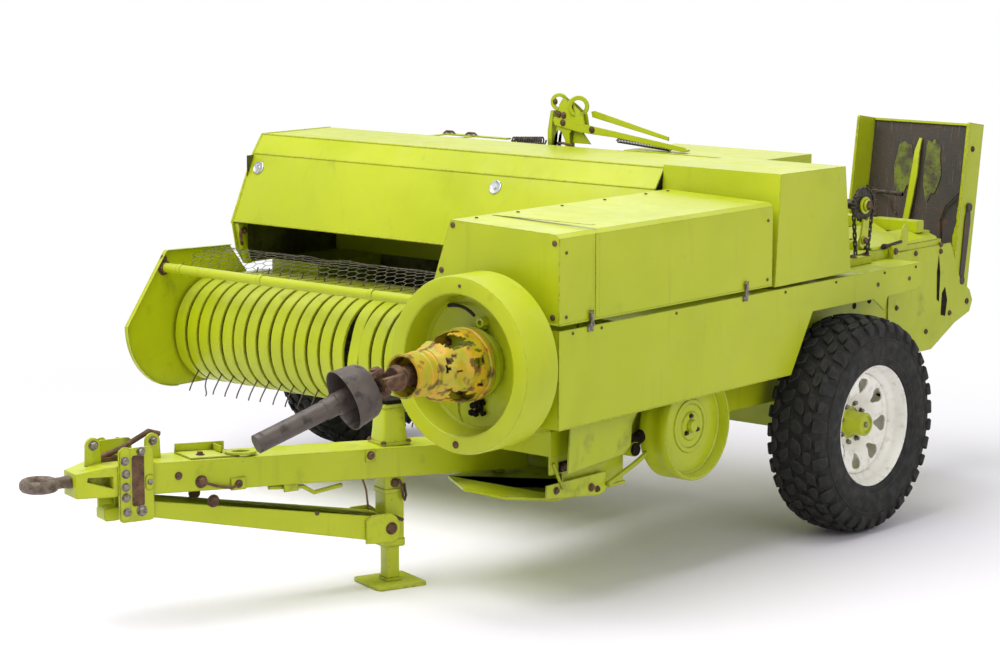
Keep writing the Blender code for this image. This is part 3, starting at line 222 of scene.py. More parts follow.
def makeRustedSteel(name, light, dark, metallic=0.35, scale=1.0):
    # Unpainted forged steel left in the rain: a matt brown skin of mixed oxides with dark pits.
    material, tree, shader = startMaterial(name, {"Metallic": metallic})
    place = addNode(tree, "ShaderNodeTexCoord").outputs["Object"]
    colour = tint(tree, patch(tree, place, 30 * scale, 0.35, 0.65, detail=8), dark, light)
    colour = tint(tree, combine(tree, "MULTIPLY", patch(tree, place, 6 * scale, 0.55, 0.7, detail=6, seed=3.3), 0.6), colour, "#2A1D15")
    colour = tint(tree, combine(tree, "MULTIPLY", edgeMask(tree, 0.003), 0.4), colour, "#8A7660")
    tree.links.new(colour, shader.inputs["Base Color"])
    rough = addNode(tree, "ShaderNodeMapRange", {"To Min": 0.5, "To Max": 0.85}, {"Value": patch(tree, place, 18, 0.3, 0.7)})
    tree.links.new(rough.outputs[0], shader.inputs["Roughness"])
    pits = addNode(tree, "ShaderNodeTexNoise", {"Scale": perMetre(4 * scale), "Detail": 6.0}, {"Vector": place}).outputs["Fac"]
    bumpFrom(tree, shader, [(pits, 0.0012)])
    return material


def makeSteel(name, colour, tarnish, roughness):
    # Zinc-plated or oiled bolts and shafts: dull grey metal with brown tarnish in the hollows.
    material, tree, shader = startMaterial(name, {"Metallic": 0.85})
    place = addNode(tree, "ShaderNodeTexCoord").outputs["Object"]
    tone = tint(tree, patch(tree, place, 12, 0.42, 0.7, detail=7), colour, tarnish)
    tree.links.new(tone, shader.inputs["Base Color"])
    rough = addNode(tree, "ShaderNodeMapRange", {"To Min": roughness, "To Max": roughness + 0.25}, {"Value": patch(tree, place, 8, 0.3, 0.7)})
    tree.links.new(rough.outputs[0], shader.inputs["Roughness"])
    grain = addNode(tree, "ShaderNodeTexNoise", {"Scale": perMetre(2), "Detail": 4.0}, {"Vector": place}).outputs["Fac"]
    bumpFrom(tree, shader, [(grain, 0.0002)])
    return material


def makeTyreRubber():
    # Carbon-black tyre rubber, press-moulded: matt charcoal, browner where field dust stays on it.
    material, tree, shader = startMaterial("moulded tyre rubber", {"IOR": 1.52, "Specular IOR Level": 0.35})
    place = addNode(tree, "ShaderNodeTexCoord").outputs["Object"]
    colour = tint(tree, patch(tree, place, 60, 0.35, 0.7, detail=8), "#161615", "#20201E")
    dust = combine(tree, "MULTIPLY", patch(tree, place, 25, 0.45, 0.75, detail=10, seed=2.0), 0.35)
    colour = tint(tree, dust, colour, "#39342C")
    worn = combine(tree, "MULTIPLY", edgeMask(tree, 0.004), 0.35)
    colour = tint(tree, worn, colour, "#504E4A")
    tree.links.new(colour, shader.inputs["Base Color"])
    rough = addNode(tree, "ShaderNodeMapRange", {"To Min": 0.62, "To Max": 0.9}, {"Value": patch(tree, place, 30, 0.3, 0.7)})
    tree.links.new(rough.outputs[0], shader.inputs["Roughness"])
    skin = addNode(tree, "ShaderNodeTexNoise", {"Scale": perMetre(3), "Detail": 6.0}, {"Vector": place}).outputs["Fac"]
    bumpFrom(tree, shader, [(skin, 0.0006)])
    return material


def makeWheelEnamel():
    # Stove enamel on a pressed wheel: clean off-white, with brown dust settled in the dish and at its edges.
    material, tree, shader = startMaterial("off-white stove enamel", {"IOR": 1.5, "Coat Weight": 0.2, "Coat Roughness": 0.2})
    place = addNode(tree, "ShaderNodeTexCoord").outputs["Object"]
    colour = tint(tree, patch(tree, place, 120, 0.35, 0.7, detail=6), "#F6F4EC", "#EDEADF")
    film = combine(tree, "MULTIPLY", patch(tree, place, 26, 0.5, 0.8, detail=9, seed=1.0), 0.4)
    colour = tint(tree, film, colour, "#A0937A")
    edges = combine(tree, "MULTIPLY", edgeMask(tree, 0.004), patch(tree, place, 10, 0.48, 0.62, detail=8, seed=3.0))
    colour = tint(tree, combine(tree, "MULTIPLY", edges, 0.8), colour, "#6B5A44")
    tree.links.new(colour, shader.inputs["Base Color"])
    rough = addNode(tree, "ShaderNodeMapRange", {"To Min": 0.28, "To Max": 0.5}, {"Value": patch(tree, place, 40, 0.3, 0.7)})
    tree.links.new(rough.outputs[0], shader.inputs["Roughness"])
    peel = addNode(tree, "ShaderNodeTexNoise", {"Scale": perMetre(5)}, {"Vector": place}).outputs["Fac"]
    bumpFrom(tree, shader, [(peel, 0.0001)])
    return material


def makeGuardPlastic(name, clean, stained, dirt, roughness=0.42):
    # Polyethylene guard, injection moulded: waxy and slightly translucent, scuffed and caked with greasy dust.
    material, tree, shader = startMaterial(name, {"IOR": 1.51, "Subsurface Weight": 0.0})
    place = addNode(tree, "ShaderNodeTexCoord").outputs["Object"]
    colour = tint(tree, patch(tree, place, 45, 0.35, 0.65, detail=6), clean, stained)
    caked = combine(tree, "MULTIPLY", patch(tree, place, 38, 0.52, 0.66, detail=10, seed=4.0), 0.85)
    colour = tint(tree, caked, colour, dirt)
    colour = tint(tree, combine(tree, "MULTIPLY", edgeMask(tree, 0.003), 0.55), colour, dirt)
    tree.links.new(colour, shader.inputs["Base Color"])
    rough = addNode(tree, "ShaderNodeMapRange", {"To Min": roughness, "To Max": roughness + 0.35}, {"Value": caked})
    tree.links.new(rough.outputs[0], shader.inputs["Roughness"])
    scuffs = addNode(tree, "ShaderNodeTexNoise", {"Scale": perMetre(6), "Detail": 8.0}, {"Vector": place}).outputs["Fac"]
    bumpFrom(tree, shader, [(scuffs, 0.0012)])
    return material


def makeWornChuteSheet():
    # Sheet steel polished bare by bales, then browned: dark grey with drawn scratches and rust blooms.
    material, tree, shader = startMaterial("bale-worn sheet steel", {"Metallic": 0.3})
    place = addNode(tree, "ShaderNodeTexCoord").outputs["Object"]
    colour = tint(tree, patch(tree, place, 140, 0.35, 0.65, detail=8), "#3F3B37", "#4A4038")
    colour = tint(tree, patch(tree, place, 60, 0.58, 0.72, detail=9, seed=2.0), colour, "#5C4433")
    colour = tint(tree, patch(tree, place, 40, 0.66, 0.8, detail=6, seed=5.0, stretch=(1, 1, 0.3)), colour, "#2C2723")
    scratch = patch(tree, place, 5, 0.62, 0.7, stretch=(1, 0.1, 0.04), seed=8.0)
    colour = tint(tree, combine(tree, "MULTIPLY", scratch, 0.5), colour, "#7C756C")
    tree.links.new(colour, shader.inputs["Base Color"])
    shader.inputs["Roughness"].default_value = 0.62
    skin = addNode(tree, "ShaderNodeTexNoise", {"Scale": perMetre(9), "Detail": 8.0}, {"Vector": place}).outputs["Fac"]
    bumpFrom(tree, shader, [(skin, 0.0012)])
    return material


print("materials")
panelEnamel = makeLimeEnamel("lime enamel on sheet steel", wear=0.25, grimeAndShade=0.10)
frameEnamel = makeLimeEnamel("lime enamel on rolled section", wear=0.8, grimeAndShade=0.45)
footEnamel = makeLimeEnamel("lime enamel worn through by soil", wear=1.0, grimeAndShade=1.2)
castEnamel = makeLimeEnamel("lime enamel on castings", wear=1.0, grimeAndShade=0.9)
# dark olive enamel whose dark colour paints the shade behind the pickup drum and inside the feeder's mouth
darkShadeEnamel = makeRustedSteel("dark enamel as painted shade", "#55591C", "#33330F", metallic=0.0, scale=4.0)
rustedForging = makeRustedSteel("rusted forging", "#6E5038", "#4A3526")
rubbedEnamel = makeRustedSteel("enamel rubbed thin", "#6E7A24", "#453F2C", metallic=0.0, scale=2.0)
towEyeSteel = makeRustedSteel("rubbed tow-eye forging", "#7E7265", "#5A4C40", metallic=0.5)
rustedThinSteel = makeRustedSteel("rusted spring steel", "#4E4136", "#2E2621", scale=0.5)
zincPlate = makeSteel("dulled zinc plate", "#8C887E", "#5C4C3A", 0.38)
oiledSteel = makeSteel("oiled bare steel", "#4A453E", "#2C241D", 0.42)
aluminiumDisc = makeSteel("pressed aluminium disc", "#B9BCBC", "#8E9090", 0.30)
tyreRubber = makeTyreRubber()
wheelEnamel = makeWheelEnamel()
yellowGuard = makeGuardPlastic("yellow polyethylene guard", "#C99C1C", "#A8A21A", "#4A3016")
brownGuard = makeGuardPlastic("brown polyethylene guard", "#4C4038", "#41362F", "#2C241F", 0.45)
chuteSheet = makeWornChuteSheet()
# dark oily steel for the jack cap and grease lumps; on the thin patches under and beside the housing it is painted
# shade in slots and open tube ends
darkSteelAndShade = makeSteel("dark oily steel and painted shade", "#2A241C", "#17130F", 0.7)

finishes = {
    "green_paint": panelEnamel,
    "white_paint": wheelEnamel,
    "tyre_rubber": tyreRubber,
    "bare_steel": oiledSteel,
    "rusty_steel": rustedForging,
    "yellow_plastic": yellowGuard,
    "brown_plastic": brownGuard,
}
frameNodes = ("main_frame", "axle_beam", "drawbar_beam", "drawbar_stay", "jack_tube", "jack_leg", "jack_foot",
              "pickup_right_plate", "pickup_left_plate", "pickup_front_bar", "tension_rail_left", "tension_rail_right",
              "tension_crossbar", "chute_carrier_left", "chute_carrier_right", "chute_brace", "needle_yoke", "lever_beam",
              "feeder_lever", "feeder_arm", "bale_chamber")
castNodes = ("hitch_head", "hitch_cheek_left", "hitch_cheek_right", "knotter_bracket_left", "knotter_bracket_right",
             "flywheel_boss", "left_hub", "right_hub", "drive_pulley", "gearbox")

for nodeName, node in nodes.items():
    slotName = node.data.materials[0].name
    material = finishes[slotName]
    if nodeName in frameNodes:
        material = frameEnamel
    if nodeName in castNodes:
        material = castEnamel
    node.data.materials[0] = material


# Studio: a pale floor, a white surround and soft lamps


studio = {
    "floorColour": "#F3F0F8",
    "surround": 1.0,
    "ambient": 0.47,
    "keyPower": 490,
    "fillPower": 85,
    "rimPower": 40,
}


def addLamp(name, place, target, size, power):
    data = bpy.data.lights.new(name, "AREA")
    data.shape = "RECTANGLE"
    data.size, data.size_y = size
    data.energy = power
    lamp = bpy.data.objects.new(name, data)
    lamp.location = place
    lamp.rotation_euler = (Vector(target) - Vector(place)).to_track_quat("-Z", "Y").to_euler()
    bpy.context.scene.collection.objects.link(lamp)


def buildStudio():
    bm = bmesh.new()
    bmesh.ops.create_grid(bm, x_segments=1, y_segments=1, size=30)
    mesh = bpy.data.meshes.new("studio_floor")
    bm.to_mesh(mesh)
    bm.free()
    floor = bpy.data.objects.new("studio_floor", mesh)
    bpy.context.scene.collection.objects.link(floor)
    material = bpy.data.materials.new("matt paper floor")
    material.use_nodes = True
    tree = material.node_tree
    shader = tree.nodes["Principled BSDF"]
    shader.inputs["Base Color"].default_value = linearColour(studio["floorColour"])
    shader.inputs["Roughness"].default_value = 0.9
    shader.inputs["Specular IOR Level"].default_value = 0.1
    # far from the machine the floor turns into the white surround, so that no horizon shows
    place = addNode(tree, "ShaderNodeNewGeometry").outputs["Position"]
    away = addNode(tree, "ShaderNodeVectorMath", {"operation": "LENGTH"}, {"Vector": place})
    fade = addNode(tree, "ShaderNodeMapRange", {"From Min": 1.5, "From Max": 3.9, "interpolation_type": "SMOOTHSTEP"},
                   {"Value": away.outputs["Value"]})
    seen = addNode(tree, "ShaderNodeLightPath").outputs
    direct = combine(tree, "MAXIMUM", seen["Is Camera Ray"], seen["Is Glossy Ray"])
    glow = addNode(tree, "ShaderNodeEmission", {"Strength": studio["surround"]})
    blend = addNode(tree, "ShaderNodeMixShader", {}, {"Fac": combine(tree, "MULTIPLY", fade.outputs[0], direct)})
    tree.links.new(shader.outputs[0], blend.inputs[1])
    tree.links.new(glow.outputs[0], blend.inputs[2])
    tree.links.new(blend.outputs[0], tree.nodes["Material Output"].inputs["Surface"])
    mesh.materials.append(material)

    world = bpy.data.worlds.new("white surround")
    bpy.context.scene.world = world
    world.use_nodes = True
    tree = world.node_tree
    seen = addNode(tree, "ShaderNodeLightPath").outputs
    direct = combine(tree, "MAXIMUM", seen["Is Camera Ray"], combine(tree, "MAXIMUM", seen["Is Glossy Ray"], seen["Is Transmission Ray"]))
    level = addNode(tree, "ShaderNodeMapRange", {"To Min": studio["ambient"], "To Max": studio["surround"]}, {"Value": direct})
    tree.links.new(level.outputs[0], tree.nodes["Background"].inputs["Strength"])
    tree.nodes["Background"].inputs["Color"].default_value = (1, 1, 1, 1)

    addLamp("key_lamp", (-0.6, -2.4, 6.3), (0, -0.1, 0.6), (6.0, 6.0), studio["keyPower"])
    addLamp("fill_lamp", (6.5, -1.5, 3.2), (0.6, 0, 0.6), (4.0, 3.0), studio["fillPower"])
    addLamp("rim_lamp", (-2.0, 5.5, 4.5), (0, 0.5, 0.8), (4.0, 3.0), studio["rimPower"])


def addCamera():
    data = bpy.data.cameras.new("picture_camera")
    data.sensor_width = 36
    data.lens = 104.4
    camera = bpy.data.objects.new("picture_camera", data)
    camera.location = machineFrame @ Vector((6.418, -8.248, 2.272))
    azimuth, elevation = math.radians(40.3), math.radians(9.2)
    camera.rotation_euler = (math.pi / 2 - elevation, 0, azimuth)
    bpy.context.scene.collection.objects.link(camera)
    bpy.context.scene.camera = camera


print("studio")
buildStudio()
addCamera()
bpy.context.scene.view_settings.view_transform = "Standard"


# Shapes that the pieces below are made of


def finishPiece(name, bm, material, body, smooth=None, bevel=None):
    bmesh.ops.remove_doubles(bm, verts=bm.verts, dist=1e-6)
    bmesh.ops.recalc_face_normals(bm, faces=bm.faces)
    mesh = bpy.data.meshes.new(name)
    bm.to_mesh(mesh)
    bm.free()
    if smooth is not None:
        mesh.shade_smooth()
        mesh.set_sharp_from_angle(angle=math.radians(smooth))
    mesh.materials.append(material)
    piece = bpy.data.objects.new(name, mesh)
    bpy.context.scene.collection.objects.link(piece)
    if bevel:
        rounding = piece.modifiers.new("rounded_edges", "BEVEL")
        rounding.width = bevel
        rounding.segments = 2
        rounding.limit_method = "ANGLE"
        rounding.angle_limit = math.radians(30)
    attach(piece, body)
    return piece


def cutAway(piece, shape):
    # takes a shape away from a finished piece
    bmesh.ops.remove_doubles(shape, verts=shape.verts, dist=1e-6)
    bmesh.ops.recalc_face_normals(shape, faces=shape.faces)
    mesh = bpy.data.meshes.new("cutter")
    shape.to_mesh(mesh)
    shape.free()
    cutter = bpy.data.objects.new("cutter", mesh)
    bpy.context.scene.collection.objects.link(cutter)
    step = piece.modifiers.new("cut", "BOOLEAN")
    step.object = cutter
    bpy.context.view_layer.update()
    whole = bpy.data.meshes.new_from_object(piece.evaluated_get(bpy.context.evaluated_depsgraph_get()))
    piece.modifiers.remove(step)
    whole.name = piece.data.name
    piece.data = whole
    bpy.data.objects.remove(cutter)


def turnProfile(bm, profile, place, steps=48, ring=True):
    # a profile of (radius, distance along the local Z axis), turned once around; a ring's profile is a loop
    loops = []
    for i in range(steps):
        angle = 2 * math.pi * i / steps
        side = Vector((math.cos(angle), math.sin(angle), 0))
        loops.append([bm.verts.new(place @ (side * r + Vector((0, 0, h)))) for r, h in profile])
    count = len(profile)
    for i in range(steps):
        here, there = loops[i], loops[(i + 1) % steps]
        for j in range(count if ring else count - 1):
            k = (j + 1) % count
            bm.faces.new((here[j], here[k], there[k], there[j]))


def pushOutline(bm, outline, place, depth):
    # a flat outline in the local X-Y plane, given a thickness along local Z
    near = [bm.verts.new(place @ Vector((x, y, 0))) for x, y in outline]
    far = [bm.verts.new(place @ Vector((x, y, depth))) for x, y in outline]
    bm.faces.new(near)
    bm.faces.new(far)
    for i in range(len(outline)):
        j = (i + 1) % len(outline)
        bm.faces.new((near[i], near[j], far[j], far[i]))


def addBlock(bm, low, high, place=Matrix()):
    corners = [(low[0], low[1]), (high[0], low[1]), (high[0], high[1]), (low[0], high[1])]
    pushOutline(bm, corners, place @ Matrix.Translation((0, 0, low[2])), high[2] - low[2])


def facing(point, direction):
    # a place whose local Z axis points in this direction
    return Matrix.Translation(point) @ Vector(direction).to_track_quat("Z", "Y").to_matrix().to_4x4()


def addRod(bm, start, end, radius, sides=12):
    start, end = Vector(start), Vector(end)
    length = (end - start).length
    profile = [(0, 0), (radius, 0), (radius, length), (0, length)]
    turnProfile(bm, profile, facing(start, end - start), sides, ring=False)


def addTube(bm, points, radius, sides=8):
    # round wire or tube along a line of points, closed at both ends
    points = [Vector(p) for p in points]
    rings = []
    side = None
    for i, point in enumerate(points):
        before, after = points[max(i - 1, 0)], points[min(i + 1, len(points) - 1)]
        along = (after - before).normalized()
        if side is None:
            side = along.orthogonal().normalized()
        side = (side - along * side.dot(along)).normalized()
        other = along.cross(side)
        ring = []
        for k in range(sides):
            angle = 2 * math.pi * k / sides
            ring.append(bm.verts.new(point + (side * math.cos(angle) + other * math.sin(angle)) * radius))
        rings.append(ring)
    for here, there in zip(rings, rings[1:]):
        for k in range(sides):
            bm.faces.new((here[k], here[(k + 1) % sides], there[(k + 1) % sides], there[k]))
    bm.faces.new(rings[0])
    bm.faces.new(rings[-1])


def addSpring(bm, start, end, radius, wire, turns, hook=0.02):
    # a close-wound coil with a straight hook at each end
    start, end = Vector(start), Vector(end)
    place = facing(start, end - start)
    length = (end - start).length
    points = [place @ Vector((0, 0, 0))]
    steps = int(turns * 12)
    for i in range(steps + 1):
        angle = 2 * math.pi * turns * i / steps
        points.append(place @ Vector((radius * math.cos(angle), radius * math.sin(angle), hook + (length - 2 * hook) * i / steps)))
    points.append(place @ Vector((0, 0, length)))
    addTube(bm, points, wire, 6)


def addBolt(bm, point, direction, across=0.019, height=0.010, washer=True, turn=0.3):
    # a hexagon head with a chamfered top, on its washer
    place = facing(point, direction) @ Matrix.Rotation(turn, 4, "Z")
    radius = across / math.sqrt(3)
    if washer:
        turnProfile(bm, [(0, 0), (radius * 1.35, 0), (radius * 1.35, 0.002), (0, 0.002)], place, 16, ring=False)
    foot = 0.0015 if washer else 0
    turnProfile(bm, [(0, foot), (radius, foot), (radius, height * 0.8), (radius * 0.82, height), (0, height)], place, 6, ring=False)


def arcPoints(centre, radius, startDeg, endDeg, steps):
    for i in range(steps + 1):
        angle = math.radians(startDeg + (endDeg - startDeg) * i / steps)
        yield (centre[0] + radius * math.cos(angle), centre[1] + radius * math.sin(angle))


def onMachine(x, y, z):
    return machineFrame @ Vector((x, y, z))


def onDrawbar(x, forward, z):
    return drawbarFrame @ Vector((x, -forward, z))


# Wheels


tyre = {
    "radius": 0.3745,
    "halfWidth": 0.1115,
    "pitches": 17,
    "depth": 0.014,
    "crown": [(0.0, 0.3605), (0.030, 0.3600), (0.056, 0.3575), (0.076, 0.3530), (0.090, 0.3460), (0.098, 0.3360),
              (0.1025, 0.3220), (0.1045, 0.3050)],
    "sidewall": [(0.1045, 0.3050), (0.1060, 0.3020), (0.1085, 0.2960), (0.1095, 0.2800), (0.1085, 0.2620), (0.1060, 0.2450),
                 (0.1030, 0.2330), (0.1015, 0.2310), (0.1000, 0.2200), (0.0985, 0.2125), (0.0950, 0.2090)],
}


def crownPoint(s, height):
    # s runs from the middle of the tread over the shoulder, as a share of the crown line's length
    line = tyre["crown"]
    t = min(max(abs(s), 0.0), 0.9999) * (len(line) - 1)
    i = int(t)
    (x0, r0), (x1, r1) = line[i], line[i + 1]
    x, r = x0 + (x1 - x0) * (t - i), r0 + (r1 - r0) * (t - i)
    lean = min(max((abs(s) - 0.30) / 0.62, 0.0), 1.0) ** 1.5 * math.radians(78)
    x, r = x + height * math.sin(lean), r + height * math.cos(lean)
    return math.copysign(x, s) if s else x, min(r, tyre["radius"])


def addTreadBlock(bm, place, sections):
    # sections of (s, first angle, last angle, height): a moulded block with sloping sides
    rows = []
    for s, first, last, height in sections:
        slope = min(0.010, (last - first) * 0.14)
        row = []
        for angle, lift in ((first, -0.002), (first + slope * 0.6, height - 0.0025), (first + slope * 1.5, height),
                            (last - slope * 1.5, height), (last - slope * 0.6, height - 0.0025), (last, -0.002)):
            x, r = crownPoint(s, lift)
            row.append(bm.verts.new(place @ Vector((r * math.cos(angle), r * math.sin(angle), x))))
        rows.append(row)
    for here, there in zip(rows, rows[1:]):
        for j in range(6):
            k = (j + 1) % 6
            bm.faces.new((here[j], here[k], there[k], there[j]))
    bm.faces.new(rows[0])
    bm.faces.new(rows[-1])


def addTread(bm, place):
    pitch = 2 * math.pi / tyre["pitches"]
    deep = tyre["depth"]
    for number in range(tyre["pitches"]):
        for side in (-1, 1):
            start = pitch * (number + (0.25 if side < 0 else 0.0))

            def block(rows):
                addTreadBlock(bm, place, [(side * s, start + pitch * a, start + pitch * b, deep * h) for s, a, b, h in rows])

            # long and short shoulder lugs, stepped where they turn down the sidewall
            block([(0.46, 0.07, 0.33, 0.7), (0.49, 0.05, 0.36, 1), (0.60, 0.02, 0.38, 1), (0.68, 0.00, 0.37, 1),
                   (0.76, 0.02, 0.36, 0.95), (0.86, 0.04, 0.36, 0.7), (0.97, 0.05, 0.34, 0.3)])
            block([(0.54, 0.57, 0.84, 0.7), (0.57, 0.54, 0.86, 1), (0.64, 0.52, 0.87, 1), (0.72, 0.54, 0.86, 1),
                   (0.80, 0.56, 0.84, 0.85), (0.87, 0.58, 0.82, 0.5)])
            # kidney and wedge blocks between the middle and the shoulder
            block([(0.27, 0.40, 0.62, 0.8), (0.30, 0.36, 0.68, 1), (0.38, 0.40, 0.76, 1), (0.45, 0.48, 0.80, 1), (0.48, 0.54, 0.74, 0.8)])
            block([(0.25, -0.10, 0.10, 0.8), (0.28, -0.15, 0.17, 1), (0.35, -0.18, 0.22, 1), (0.41, -0.14, 0.16, 1), (0.43, -0.08, 0.08, 0.8)])
            # two blocks that cross the middle
            block([(0.02, 0.10, 0.34, 0.8), (0.05, 0.06, 0.38, 1), (0.14, 0.10, 0.44, 1), (0.21, 0.18, 0.44, 1), (0.24, 0.24, 0.38, 0.8)])
            block([(0.03, 0.56, 0.80, 0.8), (0.06, 0.52, 0.84, 1), (0.13, 0.56, 0.92, 1), (0.20, 0.66, 0.96, 1), (0.22, 0.72, 0.90, 0.8)])


def addRim(bm, place):
    # one pressed wheel's rim: rolled outer flange and stepped barrel
    barrel = [(0.2082, 0.0885), (0.2086, 0.0930), (0.2068, 0.0955), (0.2035, 0.0950), (0.2015, 0.0910), (0.2000, 0.0840),
              (0.1960, 0.0770), (0.1930, 0.0600), (0.1900, 0.0520), (0.1800, 0.0440), (0.1745, 0.0340), (0.1735, 0.0050),
              (0.1760, -0.0400), (0.1900, -0.0560), (0.1980, -0.0800), (0.2040, -0.0930), (0.2080, -0.0945), (0.2080, -0.0900),
              (0.2020, -0.0780), (0.1960, -0.0550), (0.1800, -0.0370), (0.1772, 0.0050), (0.1782, 0.0330), (0.1830, 0.0410),
              (0.1935, 0.0490), (0.1968, 0.0590), (0.1995, 0.0745), (0.2055, 0.0840)]
    turnProfile(bm, barrel, place, 96)


def addDisc(bm, place):
    # the dished disc, before its openings are punched
    front = [(0.046, -0.008), (0.070, 0.000), (0.086, 0.008), (0.100, 0.021), (0.114, 0.031), (0.150, 0.037), (0.162, 0.038),
             (0.170, 0.036), (0.1755, 0.026)]
    back = [(r, h - 0.005) for r, h in reversed(front)]
    turnProfile(bm, front + back, place, 96)


def addTeardrops(bm, place):
    # eight teardrop punches, narrow towards the hub
    for number in range(8):
        turn = place @ Matrix.Rotation(2 * math.pi * (number + 0.4) / 8, 4, "Z")
        tip = arcPoints((0.116, 0), 0.012, 115, 245, 5)
        round1 = arcPoints((0.1385, -0.010), 0.0175, 245, 360, 5)
        round2 = arcPoints((0.1385, 0.010), 0.0175, 0, 115, 5)
        pushOutline(bm, [*tip, *round1, *round2], turn @ Matrix.Translation((0, 0, -0.05)), 0.13)


hub = {"radius": 0.040, "end": 0.064, "bolts": 8, "circle": 0.068}


def buildWheel(side, outward):
    low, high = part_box(f"{side}_tyre")
    centre = (low + high) / 2
    place = facing(centre, (outward, 0, 0)) @ Matrix.Rotation(0.35 if outward > 0 else 1.2, 4, "Z")
    body = f"{side}_wheel"

    rubber = bmesh.new()
    outer = tyre["crown"] + tyre["sidewall"][1:]
    profile = [(r, x) for x, r in outer] + [(r, -x) for x, r in reversed(outer[1:])]
    turnProfile(rubber, profile, place, 112)
    addTread(rubber, place)
    for height, radius in ((0.1088, 0.300), (0.1035, 0.236)):
        turnProfile(rubber, [(radius - 0.0025, height - 0.003), (radius - 0.001, height + 0.0012), (radius + 0.001, height + 0.0012),
                             (radius + 0.0025, height - 0.003)], place, 96)
    tyrePiece = finishPiece(f"{side}_tread_tyre", rubber, tyreRubber, body, smooth=32)
    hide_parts(f"{side}_tyre")

    barrel, disc, punches = bmesh.new(), bmesh.new(), bmesh.new()
    addRim(barrel, place)
    wheel = finishPiece(f"{side}_wheel_barrel", barrel, wheelEnamel, body, smooth=40)
    addDisc(disc, place)
    addTeardrops(punches, place)
    punched = finishPiece(f"{side}_wheel_disc", disc, wheelEnamel, body, smooth=35)
    cutAway(punched, punches)
    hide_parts(f"{side}_wheel_rim")

    green = bmesh.new()
    r = hub["radius"]
    turnProfile(green, [(0, -0.095), (0.052, -0.095), (0.052, -0.030), (0.060, -0.018), (0.060, -0.006), (0.046, -0.002), (0.042, 0.010),
                        (r, 0.014), (r, hub["end"] - 0.005), (r - 0.003, hub["end"]), (r - 0.011, hub["end"] + 0.001), (r - 0.013, hub["end"] - 0.004),
                        (0, hub["end"] - 0.004)], place, 40, ring=False)
    addBlock(green, (0.030, -0.012, -0.004), (0.054, 0.012, 0.030), place)
    hubPiece = finishPiece(f"{side}_hub_casting", green, castEnamel, body, smooth=40, bevel=0.0015)
    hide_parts(f"{side}_hub")

    nuts = bmesh.new()
    forward = place.to_3x3() @ Vector((0, 0, 1))
    for number in range(hub["bolts"]):
        angle = 2 * math.pi * (number + 0.2) / hub["bolts"]
        point = place @ Vector((hub["circle"] * math.cos(angle), hub["circle"] * math.sin(angle), 0.000))
        addBolt(nuts, point, forward, across=0.014, height=0.012, turn=number)
    addBolt(nuts, place @ Vector((0, 0, hub["end"] - 0.004)), forward, across=0.018, height=0.006, washer=False)
    finishPiece(f"{side}_wheel_nuts", nuts, zincPlate, body)

    valve = bmesh.new()
    stem = [place @ Vector((0.170, 0.02, 0.004)), place @ Vector((0.166, 0.02, 0.018)), place @ Vector((0.163, 0.02, 0.034))]
    addTube(valve, stem, 0.004, 8)
    finishPiece(f"{side}_valve", valve, tyreRubber, body, smooth=40)


print("wheels")
buildWheel("left", 1)
buildWheel("right", -1)


# Flywheel and driveline


flywheel = {"radius": 0.2720, "lip": 0.214, "dish": 0.098, "depth": 0.150}


